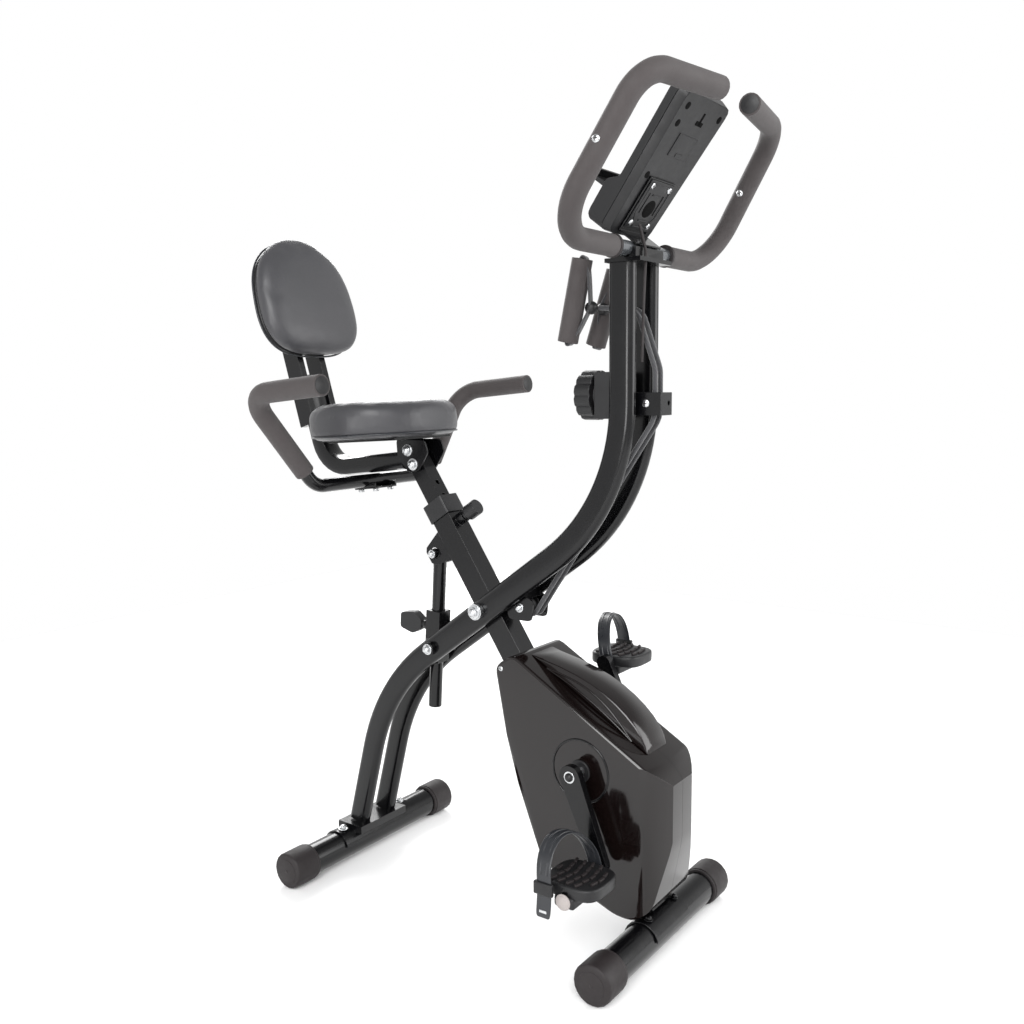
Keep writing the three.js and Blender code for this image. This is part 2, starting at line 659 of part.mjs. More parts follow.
const sleeveTop = -98;
const sleeveBottom = -186;
const sleeveHalf = sleeveSize / 2;
const sleeveBody = block(-sleeveHalf, sleeveHalf, -sleeveHalf, sleeveHalf, sleeveBottom, sleeveTop);
const lugBlock = block(10, sleevePivot.x + 9, -12, 12, sleevePivot.z - 12, sleevePivot.z + 12);
const lugBolt = rodY(strutBoltRadius, -uprightOuter - 1, uprightOuter + 1, sleevePivot.x, sleevePivot.z, 16);
const lugHead = rodY(11, -uprightOuter - gap - 8, -uprightOuter - gap, sleevePivot.x, sleevePivot.z, 24);
const lugNut = rodY(10, uprightOuter + gap, uprightOuter + gap + 8, sleevePivot.x, sleevePivot.z, 6);
const pinZ = -128;
const pinRadius = 4;
const sleeveBoss = rodX(9, -sleeveSize / 2 - 9, -sleeveSize / 2 + 1, 0, pinZ, 20);
const sleeveSolid = join(sleeveBody, lugBlock, lugBolt, lugHead, lugNut, sleeveBoss);
const sleeveBore = rodZ(strutRodRadius + running, sleeveBottom - 1, sleeveTop + 1, 0, 0, 20);
const sleevePinBore = rodX(pinRadius + gap, -sleeveSize, -2, 0, pinZ, 14);
add(strut, 'strut_sleeve', cut(sleeveSolid, sleeveBore, sleevePinBore), paintedSteel());

// The pin stops just short of the rod, so that the rod can slide past it.
const pinTip = -strutRodRadius - running - 0.2;
const wingReach = 46;
const wing = roundedOutline([
  [-wingReach, -13], [-18, -19], [0, -8], [0, 8], [-18, 19], [-wingReach, 13]], 5);
const wingPlate = plateY(wing, -8, 8, 3).translate(-sleeveSize / 2 - 16, 0, pinZ);
const wingNeck = rodX(6.5, -sleeveSize / 2 - 18, -sleeveSize / 2 - 9 - gap, 0, pinZ, 16);
const wingPin = rodX(pinRadius, -sleeveSize / 2 - 12, pinTip, 0, pinZ, 14);
add(strut, 'strut_pin_knob', join(wingPlate, wingNeck, wingPin), moulded());

// ---- Front frame: everything along the straight tube --------------------------------------------
// In this frame Z runs up the tube, X is square to it towards the front, and the origin is the pivot.

const rake = Math.atan2(wheelbase - pivotX, pivotZ - capRadius);
const tubeFrame = new THREE.Group();
tubeFrame.position.set(pivotX, 0, pivotZ);
tubeFrame.rotation.y = -rake;
model.add(tubeFrame);
tubeFrame.updateMatrixWorld(true);
const inTube = (x, z) => tubeFrame.worldToLocal(new THREE.Vector3(x, 0, z));
const crankAt = inTube(crankX, crankZ);
const flywheelAt = inTube(flywheelX, flywheelZ);
const strutAt = inTube(strutTopX, strutTopZ);
const tubeLength = Math.hypot(wheelbase - pivotX, pivotZ - capRadius);

const squareSolid = (size, z0, z1) => block(-size / 2, size / 2, -size / 2, size / 2, z0, z1);
const shellHalf = 22; // half width of the two bearing shells
const crankShell = rodY(19, -shellHalf, shellHalf, crankAt.x, crankAt.z, 20);
const flywheelShell = rodY(13, -shellHalf + 2, shellHalf - 2, flywheelAt.x, flywheelAt.z, 20);
const gussetOutline = new THREE.Shape();
gussetOutline.moveTo(10, crankAt.z + 60);
gussetOutline.lineTo(crankAt.x, crankAt.z + 10);
gussetOutline.lineTo(crankAt.x, crankAt.z - 10);
gussetOutline.lineTo(flywheelAt.x, flywheelAt.z + 8);
gussetOutline.lineTo(flywheelAt.x, flywheelAt.z - 8);
gussetOutline.lineTo(10, flywheelAt.z - 50);
const gusset = plateY(gussetOutline, -4, 4);
const footSaddle = saddlePlate(52).rotateY(rake).translate(0, 0, -tubeLength);
const bossRadius = 10;
const pinBoss = rodX(bossRadius, mainTube / 2 - 1, mainTube / 2 + 14, 0, pinHeight, 20);
const lugPlateOutline = roundedOutline([
  [-mainTube / 2 + 2, strutAt.z - 28], [-mainTube / 2 + 2, strutAt.z + 28],
  [strutAt.x - 15, strutAt.z + 15], [strutAt.x - 15, strutAt.z - 15]], 5);
const slotRadius = topBoltRadius + 6;
function strutLug(side) {
  const [y0, y1] = side < 0 ? [-lugInner - lugThickness, -lugInner] : [lugInner, lugInner + lugThickness];
  return cut(plateY(lugPlateOutline, y0, y1, 1), rodY(slotRadius, y0 - 1, y1 + 1, strutAt.x, strutAt.z, 16));
}
const frameSolid = join(squareSolid(mainTube, -tubeLength + stabiliserRadius, mainTubeTop), crankShell,
  flywheelShell, gusset, footSaddle, pinBoss, strutLug(-1), strutLug(1));
const postBore = squareSolid(mainTube - 2 * tubeWall, -tubeLength + stabiliserRadius + 20, mainTubeTop + 1);
const stabiliserBore = rodY(stabiliserRadius + gap, -80, 80, 0, 0, roundSides);
stabiliserBore.rotateY(rake).translate(0, 0, -tubeLength);
const pivotBore = rodY(mainBoltRadius + running, -40, 40, 0, 0, 16);
const axleRadius = 9;
const crankBore = rodY(axleRadius + running, -40, 40, crankAt.x, crankAt.z, 20);
const flywheelAxleRadius = 6;
const flywheelBore = rodY(flywheelAxleRadius + running, -40, 40, flywheelAt.x, flywheelAt.z, 16);
const postPinRadius = 5;
const postPinBore = rodX(postPinRadius + gap, mainTube / 2 - 8, mainTube / 2 + 20, 0, pinHeight, 16);
const mainFrame = cut(frameSolid, postBore, stabiliserBore, pivotBore, crankBore, flywheelBore, postPinBore);
add(tubeFrame, 'main_frame_tube', mainFrame, paintedSteel());

// Plastic collar over the top of the tube, which the post slides in.
const collarBottom = pinHeight + bossRadius + 6;
const collarTop = mainTubeTop + 19;
const collarOuter = plateZ(roundedRectangle(mainTube + 7, mainTube + 7, 5), collarBottom, collarTop);
const collarSocket = squareSolid(mainTube + 2 * gap, collarBottom - 1, mainTubeTop + gap);
const collarBore = squareSolid(postSize + 2 * running, collarBottom, collarTop + 1);
add(tubeFrame, 'post_collar', cut(collarOuter, collarSocket, collarBore), moulded());

const seatPost = cut(
  squareSolid(postSize, postBottom, postTop),
  squareSolid(postSize - 2 * tubeWall, postBottom - 1, postTop + 1),
  ...[170, 195, 220, 245].map((z) => rodX(4, postSize / 2 - 6, postSize / 2 + 6, 0, z - 20, 12)),
);
add(tubeFrame, 'seat_post', seatPost, paintedSteel());

const pinHead = rodX(13, mainTube / 2 + 22, mainTube / 2 + 44, 0, pinHeight, 16);
const pinNeck = rodX(8, mainTube / 2 + 14 + gap, mainTube / 2 + 23, 0, pinHeight, 16);
const pinShank = rodX(postPinRadius, postSize / 2 + gap + 0.3, mainTube / 2 + 16, 0, pinHeight, 16);
add(tubeFrame, 'post_pin_knob', join(pinHead, pinNeck, pinShank), moulded());

// ---- Housing ------------------------------------------------------------------------------------

const creaseTop = [368, 425];
const creaseBottom = [606, 286];
function housingOutline() {
  return roundedOutline([
    [334, 403, 12], [...creaseTop, 12], [...creaseBottom, 15], [628, 258, 15], [622, 172, 30], [604, 84, 12],
    [578, 62, 12], [548, 62, 12], [421, 108, 16], [378, 214, 30], [351, 307, 30]], 10);
}
// Seen from above, the sides are straight and draw in towards a narrower front strip.
const housingFront = 622;
const shoulderX = 586; // where the sides begin to draw in
function housingPlan(inset) {
  const shape = new THREE.Shape();
  const half = housingHalfWidth - inset;
  const strip = finHalfWidth - inset / 2;
  shape.moveTo(250, -half);
  shape.lineTo(shoulderX, -half);
  shape.quadraticCurveTo(shoulderX + 20, -half + 2, housingFront - inset, -strip);
  shape.lineTo(housingFront - inset, strip);
  shape.quadraticCurveTo(shoulderX + 20, half - 2, shoulderX, half);
  shape.lineTo(250, half);
  return plateZ(shape, 0, 500, 6);
}
const insetBy = 2 * housingWall;
function housingHalf(side) {
  const whole = plateY(housingOutline(), -housingHalfWidth, housingHalfWidth, 3, 4);
  const halfSolid = common(whole, housingPlan(0));
  const inside = plateY(housingOutline(), -housingHalfWidth + housingWall, housingHalfWidth - housingWall, 1);
  const centre = [490, 243];
  inside.translate(-centre[0], 0, -centre[1]).scale(1 - insetBy / 135, 1, 1 - insetBy / 170);
  inside.translate(centre[0], 0, centre[1]);
  const hollowSpace = common(inside, housingPlan(housingWall + 0.5));
  const seam = 0.2; // from the middle plane to each shell's edge
  const otherSide = side < 0 ? block(200, 800, -seam, 200, -50, 600) : block(200, 800, -200, seam, -50, 600);
  const axleHole = rodY(axleRadius + 4, -100, 100, crankX, crankZ, 20);
  const tubeSlot = squareSolid(mainTube + 2 * gap + 0.4, -tubeLength - 60, 60).rotateY(-rake);
  tubeSlot.translate(pivotX, 0, pivotZ);
  return cut(halfSolid, hollowSpace, otherSide, axleHole, tubeSlot);
}
for (const [label, side] of sides) {
  add(model, `housing_${label}`, housingHalf(side), glossShell());
}

// The raised fin follows the crease and arches over the front of the drive.
const finShape = new THREE.Shape();
const slope = Math.atan2(creaseBottom[1] - creaseTop[1], creaseBottom[0] - creaseTop[0]);
const onCrease = (t, lift) => [
  creaseTop[0] + t * Math.cos(slope) - lift * Math.sin(slope),
  creaseTop[1] + t * Math.sin(slope) + lift * Math.cos(slope),
];
finShape.moveTo(...onCrease(12, gap));
finShape.lineTo(...onCrease(30, 6));
finShape.quadraticCurveTo(...onCrease(112, 36), ...onCrease(168, 31));
finShape.quadraticCurveTo(...onCrease(226, 26), ...onCrease(246, gap));
const finSolid = plateY(finShape, -finHalfWidth, finHalfWidth, 5, 3);
const finTrim = new THREE.Shape();
finTrim.moveTo(...onCrease(-40, -60));
finTrim.lineTo(...onCrease(-40, gap));
finTrim.lineTo(...onCrease(320, gap));
finTrim.lineTo(...onCrease(320, -60));
const finTubeSlot = squareSolid(mainTube + 2, -tubeLength, 60).rotateY(-rake).translate(pivotX, 0, pivotZ);
const finCore = plateY(finShape, -finHalfWidth + 3, finHalfWidth - 3, 5).translate(0, 0, -4);
add(model, 'housing_fin', cut(finSolid, plateY(finTrim, -80, 80), finCore, finTubeSlot), glossShell());

// ---- Cranks, pedals and drive -------------------------------------------------------------------
// The crank group turns about its origin; X in it runs along the right crank arm.

const crankGroup = new THREE.Group();
crankGroup.position.set(crankX, 0, crankZ);
model.add(crankGroup);

const axleHalf = crankInner + crankThickness;
const axle = rodY(axleRadius, -axleHalf, axleHalf, 0, 0, 20);
const pulleyDisc = rodY(pulleyRadius, beltY - beltWidth / 2, beltY + beltWidth / 2, 0, 0, 28);
const pulleyHub = rodY(16, beltY - 8, beltY + 8, 0, 0, 16);
add(crankGroup, 'crank_axle', join(axle, pulleyDisc, pulleyHub), zinc());

const spindleRadius = 5.5;
const pedalInner = 8; // between the crank arm and the pedal
const pedalWidth = 82;
const pedalLength = 88;
const pedalHeight = 24;
const spindleLength = pedalInner + pedalWidth;
function crankArm(side) {
  const reach = crankLength;
  const shape = new THREE.Shape();
  shape.absarc(0, 0, 17, Math.PI / 2, (3 * Math.PI) / 2);
  shape.absarc(reach, 0, 12, -Math.PI / 2, Math.PI / 2);
  const arm = plateY(shape, -crankThickness / 2, crankThickness / 2, 6);
  const y = side * (crankInner + crankThickness / 2);
  arm.translate(0, y, 0);
  const bore = rodY(axleRadius + gap, y - 20, y + 20, 0, 0, 20);
  const face = side * axleHalf;
  const end = side * (axleHalf + spindleLength);
  const [y0, y1] = [face - side * 2, end].sort((a, b) => a - b);
  const spindle = rodY(spindleRadius, y0, y1, reach, 0, 16);
  const geometry = join(cut(arm, bore), spindle);
  return geometry.rotateY(-crankAngle + (side < 0 ? 0 : Math.PI));
}
for (const [label, side] of sides) {
  add(crankGroup, `crank_arm_${label}`, crankArm(side), paintedSteel());
}

// A closed arch: straight sides from the floor up to the springing, then half a circle.
function arch(half, floor, springing) {
  const shape = new THREE.Shape();
  shape.moveTo(half, floor);
  shape.lineTo(half, springing);
  shape.absarc(0, springing, half, 0, Math.PI);
  shape.lineTo(-half, floor);
  return shape;
}

// A pedal round its spindle, with a toe strap arched over it; Y grows away from the crank.
function pedal(side) {
  const body = plateZ(roundedRectangle(pedalLength, pedalWidth, 24), -pedalHeight / 2, pedalHeight / 2);
  const windows = [-1, 1].flatMap((k) => [
    plateZ(roundedRectangle(20, pedalWidth - 26, 6), -pedalHeight, pedalHeight, 1).translate(k * 24, 0, 0)]);
  const strapHalf = pedalWidth / 2 + 7;
  const strapHeight = 62;
  const springing = strapHeight - strapHalf;
  const loop = hollow(arch(strapHalf, -8, springing), arch(strapHalf - 3, -5, springing));
  const strap = slabX(loop, -12, 12, 5);
  const solid = join(cut(body, ...windows), strap);
  const bore = rodY(spindleRadius + running, -pedalWidth, pedalWidth, 0, 0, 16);
  return cut(solid, bore);
}
for (const [label, side] of sides) {
  const angle = crankAngle + (side < 0 ? 0 : Math.PI);
  const y = side * (axleHalf + pedalInner + pedalWidth / 2);
  add(crankGroup, `pedal_${label}`, pedal(side), moulded(),
    crankLength * Math.cos(angle), y, crankLength * Math.sin(angle));
}

// Belt: a closed band round the two pulleys.
function beltOutline(extra) {
  const dx = flywheelX - crankX;
  const dz = flywheelZ - crankZ;
  const distance = Math.hypot(dx, dz);
  const heading = Math.atan2(dz, dx);
  const lean = Math.acos((pulleyRadius - smallPulleyRadius) / distance);
  const shape = new THREE.Shape();
  shape.absarc(0, 0, pulleyRadius + extra, heading + lean, heading - lean + 2 * Math.PI);
  shape.absarc(dx, dz, smallPulleyRadius + extra, heading - lean, heading + lean);
  return shape;
}
const belt = hollow(beltOutline(3), beltOutline(gap + 0.5));
const beltBand = plateY(belt, beltY - beltWidth / 2 + 1, beltY + beltWidth / 2 - 1, 9);
add(crankGroup, 'drive_belt', beltBand, rubber());

const flywheelGroup = new THREE.Group();
flywheelGroup.position.set(flywheelX, 0, flywheelZ);
model.add(flywheelGroup);
const disc = rodY(flywheelRadius, flywheelInner, flywheelInner + flywheelThickness, 0, 0, 36);
const recess = rodY(flywheelRadius - 16, flywheelInner + flywheelThickness - 6, 100, 0, 0, 24);
const hub = rodY(18, flywheelInner, flywheelInner + flywheelThickness, 0, 0, 20);
const hubBore = rodY(flywheelAxleRadius + gap, 0, 100, 0, 0, 16);
add(flywheelGroup, 'flywheel', cut(join(cut(disc, recess), hub), hubBore), castIron());
const flyAxle = rodY(flywheelAxleRadius, beltY - 8, flywheelInner + flywheelThickness + 8, 0, 0, 16);
const smallPulley = rodY(smallPulleyRadius, beltY - beltWidth / 2, beltY + beltWidth / 2, 0, 0, 24);
add(flywheelGroup, 'flywheel_axle', join(flyAxle, smallPulley), zinc());

// Magnet carrier: a curved arm round the rear of the flywheel, hung from its upper end.
const magnetGap = 3;
const magnetY = [flywheelInner + 1, flywheelInner + flywheelThickness - 1];
const armShape = new THREE.Shape();
const armFrom = 2.2;
const armTo = 3.3;
armShape.absarc(0, 0, flywheelRadius + magnetGap + 9, armFrom, armTo);
armShape.absarc(0, 0, flywheelRadius + magnetGap, armTo, armFrom, true);
add(flywheelGroup, 'magnet_arm', plateY(armShape, magnetY[0], magnetY[1], 8), zinc());

// ---- Seat, backrest and side handles ------------------------------------------------------------

const bracketInner = seatTubeWidth / 2 + gap;
const bracketPlate = 3;
const bracketOutline = roundedOutline([
  [104, 742], [165, 742], [172, 722], [152, 692], [130, 688], [106, 712]], 5);
const seatPanTop = seatBottomZ - gap;
function bracketSide(side) {
  const [y0, y1] = [side * bracketInner, side * (bracketInner + bracketPlate)].sort((a, b) => a - b);
  return plateY(bracketOutline, y0, y1, 2);
}
const panPlate = block(-75, 75, -70, 70, -4, 0).rotateY(-seatTilt).translate(seatX + 6, 0, seatPanTop - 0.6);
const spacer = (x, z) => rodY(7, -bracketInner - 1, bracketInner + 1, x, z, 12);
const postInSeat = squareSolid(postSize + 2 * gap, postBottom, postTop + 400).rotateY(-rake);
postInSeat.translate(pivotX, 0, pivotZ);
const alongPost = (z) => tubeFrame.localToWorld(new THREE.Vector3(0, 0, z));
const boltLow = alongPost(268);
const boltHigh = alongPost(298);
const seatBracketSolid = join(bracketSide(-1), bracketSide(1), panPlate, spacer(boltLow.x, boltLow.z),
  spacer(boltHigh.x, boltHigh.z));
add(model, 'seat_bracket', cut(seatBracketSolid, postInSeat), paintedSteel());

// Cushion: an oval plan with a crowned edge, tilted nose up.
const seatPlan = new THREE.Shape();
seatPlan.absellipse(0, 0, seatHalfLength - seatRound, seatHalfWidth - seatRound, 0, 2 * Math.PI);
const seatPad = new THREE.ExtrudeGeometry(seatPlan, {
  depth: seatHeight - 2 * seatRound, curveSegments: 12,
  bevelEnabled: true, bevelSize: seatRound, bevelThickness: seatRound, bevelSegments: 2,
});
seatPad.translate(0, 0, seatRound);
const cushion = add(model, 'seat_cushion', seatPad, padCover(), seatX, 0, seatBottomZ);
cushion.rotation.y = -seatTilt;

// Flat tube under the seat that turns up behind it and carries the backrest.
const seatTubePath = filletedPath([
  [112, 0, 707],
  [-73, 0, 685.5, 60],
  [-122.5, 0, 847],
]);
const seatTubeSection = hollow(
  roundedRectangle(seatTubeWidth, seatTubeDepth, 8),
  roundedRectangle(seatTubeWidth - 2 * tubeWall, seatTubeDepth - 2 * tubeWall, 6),
);
const postClear = squareSolid(postSize + 2 * running, postBottom, postTop + 200);
postClear.rotateY(-rake).translate(pivotX, 0, pivotZ);
const boltClear = rodY(7.6, -30, 30, boltLow.x, boltLow.z, 16);
const seatTube = cut(sweep(seatTubeSection, seatTubePath, 2), postClear, boltClear);
add(model, 'seat_frame_tube', seatTube, paintedSteel());

// Side handles: one bent tube that passes under the seat tube, with a foam grip on each arm.
const gripEnd = [177, 256, 832];
const handleTop = [18, 256, 818];
const handleLow = [33, 140, 670];
const gripFoot = handleTop.map((v, i) => v + (handleLow[i] - v) * 0.84);
const handlePath = (side) => filletedPath([
  [gripEnd[0], side * gripEnd[1], gripEnd[2]],
  [handleTop[0], side * handleTop[1], handleTop[2], 44],
  [gripFoot[0], side * gripFoot[1], gripFoot[2]],
]);
const under = filletedPath([
  [handleTop[0] + 7.5, handleTop[1] - 58, handleTop[2] - 74],
  [handleLow[0], handleLow[1], handleLow[2], 40],
  [handleLow[0], -handleLow[1], handleLow[2], 40],
  [handleTop[0] + 7.5, -handleTop[1] + 58, handleTop[2] - 74],
], barTurn);
const sideTube = (side) => sweep(circle(sideTubeRadius), handlePath(side), barSides);
const underTube = sweep(circle(sideTubeRadius - 0.6), under, barSides);
add(model, 'side_handle_tube', join(sideTube(-1), sideTube(1), underTube), paintedSteel());
for (const [label, side] of sides) {
  const section = hollow(circle(sideGripRadius), circle(sideTubeRadius + gap + 0.5));
  add(model, `side_grip_${label}`, sweep(section, handlePath(side), barSides), foam());
}

// Backrest: two flat posts beside the seat tube, a moulded shell and a cushion.
const back = new THREE.Group();
back.position.set(-99 - 210 * Math.tan(backLean) + backPostDepth / 2 / Math.cos(backLean), 0, 981);
back.rotation.y = -backLean;
model.add(back);
const postLowEnd = -223;
const postHighEnd = -20;
for (const [label, side] of sides) {
  const y = side * (seatTubeWidth / 2 + gap + backPostWidth / 2);
  const post = block(-backPostDepth, 0, -backPostWidth / 2, backPostWidth / 2, postLowEnd, postHighEnd);
  add(back, `backrest_post_${label}`, post, paintedSteel(), 0, y, 0);
}
function backOutline(shrink, drop) {
  const half = backHalfWidth - shrink;
  const tall = backHeight / 2 - shrink;
  const top = half * 0.84;
  return roundedOutline([
    [half, -tall, 60], [top, tall - drop, 80], [-top, tall - drop, 80], [-half, -tall, 60]], 40);
}
const shellThickness = 8;
const backPadRound = 14;
const backPadDrop = 8; // the pad's top edge, below the shell's
add(back, 'backrest_shell', slabX(backOutline(3, 0), gap, shellThickness, 6), moulded());
const backPad = new THREE.ExtrudeGeometry(backOutline(backPadRound, backPadDrop), {
  depth: 14, curveSegments: 6,
  bevelEnabled: true, bevelSize: backPadRound, bevelThickness: 12, bevelSegments: 3,
});
backPad.rotateX(Math.PI / 2).rotateZ(Math.PI / 2).translate(shellThickness + gap + 12, 0, 0);
add(back, 'backrest_cushion', backPad, padCover());

// ---- The part's own frame: the middle of the floor under the bike -------------------------------

group.updateMatrixWorld(true);
const extent = new THREE.Box3().setFromObject(group, true);
model.position.set(-(extent.min.x + extent.max.x) / 2, 0, -extent.min.z);

export default group;
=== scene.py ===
"""Looks of a folding exercise bike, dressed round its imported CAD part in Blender.

Metres in the row frame: +X is the way the rider faces, +Y the rider's left, +Z up.
Places are written in millimetres from the rear stabiliser's axis on the floor, as the
bike was drawn, and `at` turns them into the row frame.
"""

from __future__ import annotations

import json
import logging
import math
from dataclasses import dataclass
from enum import Enum
from typing import Callable, Iterable, Sequence

import bpy
from mathutils import Matrix, Vector

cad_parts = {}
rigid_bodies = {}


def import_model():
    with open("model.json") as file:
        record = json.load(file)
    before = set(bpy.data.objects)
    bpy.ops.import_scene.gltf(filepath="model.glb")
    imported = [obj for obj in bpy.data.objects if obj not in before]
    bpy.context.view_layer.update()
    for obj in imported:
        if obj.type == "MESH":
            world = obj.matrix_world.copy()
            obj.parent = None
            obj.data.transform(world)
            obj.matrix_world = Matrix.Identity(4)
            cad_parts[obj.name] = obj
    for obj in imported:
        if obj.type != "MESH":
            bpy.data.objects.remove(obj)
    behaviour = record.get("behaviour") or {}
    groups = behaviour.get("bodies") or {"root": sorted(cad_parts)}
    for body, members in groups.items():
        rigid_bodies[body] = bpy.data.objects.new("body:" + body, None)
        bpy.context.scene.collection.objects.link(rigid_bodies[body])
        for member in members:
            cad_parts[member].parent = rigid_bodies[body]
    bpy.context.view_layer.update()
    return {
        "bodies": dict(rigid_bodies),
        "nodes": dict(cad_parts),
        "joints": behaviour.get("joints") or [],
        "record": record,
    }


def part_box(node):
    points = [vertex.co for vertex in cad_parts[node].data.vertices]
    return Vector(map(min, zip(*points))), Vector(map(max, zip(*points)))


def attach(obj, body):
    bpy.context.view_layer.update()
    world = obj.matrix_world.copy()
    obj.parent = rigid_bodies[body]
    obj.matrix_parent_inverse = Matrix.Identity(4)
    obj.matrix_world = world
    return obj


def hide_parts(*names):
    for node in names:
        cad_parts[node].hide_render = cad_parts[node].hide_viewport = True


LOG = logging.getLogger("exercise_bike")
MM = 0.001
SIDES = (("right", -1), ("left", 1))
WELD = 0.01 * MM  # points closer than this are one
CAD_WELD = 0.02 * MM  # the same for the CAD's loose triangles
FLAT_SHADING = math.radians(35)  # edges sharper than this stay crisp on blocks and plates
ROUND_SHADING = math.radians(40)  # and on tubes, domes and straps


# ---- Places and small helpers ----------------------------------------------------------------


@dataclass
class Place:
    """Where drawing coordinates lie in the row frame.

    Attributes:
        axis_x: X of the rear stabiliser's axis, in metres.
    """

    axis_x: float = 0.0

    def at(self, x: float, y: float, z: float) -> Vector:
        """Returns a drawing point (mm) as a point of the row frame (m)."""
        return Vector((self.axis_x + x * MM, y * MM, z * MM))


PLACE = Place()


def at(x: float, y: float, z: float) -> Vector:
    """Returns a drawing point (mm) in the row frame (m), once the frame is loaded."""
    return PLACE.at(x, y, z)


def middle(node: str) -> Vector:
    """Returns the middle of a CAD node's box."""
    low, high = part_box(node)
    return (low + high) / 2


def linear(hex_colour: str) -> tuple[float, float, float, float]:
    """Turns an sRGB colour into the linear values that shaders use.

    Args:
        hex_colour: The colour, such as "#1a2b3c".

    Returns:
        Red, green, blue and an alpha of 1.
    """
    channels = [int(hex_colour[i : i + 2], 16) / 255 for i in (1, 3, 5)]
    mixed = [c / 12.92 if c <= 0.04045 else ((c + 0.055) / 1.055) ** 2.4 for c in channels]
    return (*mixed, 1.0)


def focus(obj: bpy.types.Object) -> bpy.types.Object:
    """Selects one object alone and makes it active.

    Args:
        obj: The object.

    Returns:
        The same object.
    """
    if bpy.context.mode != "OBJECT":
        bpy.ops.object.mode_set(mode="OBJECT")
    bpy.ops.object.select_all(action="DESELECT")
    obj.select_set(True)
    bpy.context.view_layer.objects.active = obj
    return obj


def settle(obj: bpy.types.Object) -> bpy.types.Object:
    """Puts an object's place into its mesh, so that it sits at the origin.

    Args:
        obj: The object.

    Returns:
        The same object.
    """
    focus(obj)
    bpy.ops.object.transform_apply(location=True, rotation=True, scale=True)
    return obj


def modify(obj: bpy.types.Object, kind: str, **settings: object) -> bpy.types.Object:
    """Adds a modifier and applies it.

    Args:
        obj: The object.
        kind: The modifier's type.
        **settings: Its settings by name.

    Returns:
        The same object.
    """
    modifier = obj.modifiers.new(kind.lower(), kind)
    for key, value in settings.items():
        setattr(modifier, key, value)
    focus(obj)
    bpy.ops.object.modifier_apply(modifier=modifier.name)
    return obj


def soften(obj: bpy.types.Object, width: float, segments: int = 2, angle: float = 40) -> bpy.types.Object:
    """Rounds an object's sharp edges by a width in mm and shades it smooth.

    Args:
        obj: The object.
        width: How far each edge is rounded, in mm.
        segments: Faces across each rounded edge.
        angle: Edges sharper than this many degrees are rounded.

    Returns:
        The same object.
    """
    modify(
        obj,
        "BEVEL",
        width=width * MM,
        segments=segments,
        limit_method="ANGLE",
        angle_limit=math.radians(angle),
    )
    focus(obj)
    bpy.ops.object.shade_smooth_by_angle(angle=FLAT_SHADING)
    return obj


def named(name: str) -> bpy.types.Object:
    """Renames the active object and its mesh.

    Args:
        name: The new name.

    Returns:
        The active object.
    """
    obj = bpy.context.active_object
    obj.name = name
    obj.data.name = name
    return obj


def merge(name: str, pieces: Sequence[bpy.types.Object]) -> bpy.types.Object:
    """Joins pieces into one object.

    Args:
        name: The joined object's name.
        pieces: What is joined; only the first object is left.

    Returns:
        The joined object.
    """
    focus(pieces[0])
    for piece in pieces[1:]:
        piece.select_set(True)
    if len(pieces) > 1:
        bpy.ops.object.join()
    return named(name)


def fit(obj: bpy.types.Object, finish: "Finish", body: str, slot: str = "") -> bpy.types.Object:
    """Gives a finished piece its material and body.

    Args:
        obj: The piece, in place.
        finish: Its finish.
        body: The CAD body that it rides on.
        slot: The record's material slot, where it isn't the finish's own; not used.

    Returns:
        The same piece.
    """
    obj.data.materials.clear()
    obj.data.materials.append(finish.material())
    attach(obj, body)
    slot or finish.slot
    LOG.info("piece %s on %s", obj.name, body)
    return obj


# ---- Shapes ------------------------------------------------------------------------------------

Corner = tuple[float, float, float, float]
Outline = Callable[[float], tuple[float, float]]


def fillet(corners: Sequence[Corner], step: float = 0.09) -> list[Vector]:
    """Returns a line through corners, each turned by an arc of its own radius.

    Args:
        corners: (x, y, z, radius) in drawing mm; the radius of the ends isn't used.
        step: Radians turned between points of an arc.

    Returns:
        The line's points in the row frame.
    """
    points = [at(*corner[:3]) for corner in corners]
    route = [points[0]]
    for i in range(1, len(points) - 1):
        before = (points[i] - points[i - 1]).normalized()
        after = (points[i + 1] - points[i]).normalized()
        angle = before.angle(after)
        radius = corners[i][3] * MM
        centre = points[i] + (after - before).normalized() * radius / math.cos(angle / 2)
        start = points[i] - before * radius * math.tan(angle / 2)
        outward = (start - centre).normalized()
        count = max(2, math.ceil(angle / step))
        for k in range(count + 1):
            turned = angle * k / count
            route.append(centre + outward * radius * math.cos(turned) + before * radius * math.sin(turned))
    route.append(points[-1])
    return route


def oval_section(
    width: float, depth: float, turned: bool = False
) -> bpy.types.Object:
    """Makes a flat oval outline to sweep along a route.

    Args:
        width: Its short side, in mm.
        depth: Its long side, in mm.
        turned: Whether the long side lies across the bike instead of in its plane.

    Returns:
        The outline as a flat curve.
    """
    curve = bpy.data.curves.new("section", "CURVE")
    curve.dimensions = "2D"
    spline = curve.splines.new("POLY")
    radius = width / 2
    steps = 10  # along each round end
    rim = []
    for end in (1, -1):
        for k in range(steps + 1):
            around = math.pi * k / steps + (0 if end > 0 else math.pi)
            rim.append((radius * math.cos(around), end * (depth / 2 - radius) + radius * math.sin(around)))
    spline.points.add(len(rim) - 1)
    for point, (x, y) in zip(spline.points, rim):
        point.co = (y * MM, -x * MM, 0, 1) if turned else (x * MM, y * MM, 0, 1)
    spline.use_cyclic_u = True
    section = bpy.data.objects.new("section", curve)
    bpy.context.scene.collection.objects.link(section)
    return section


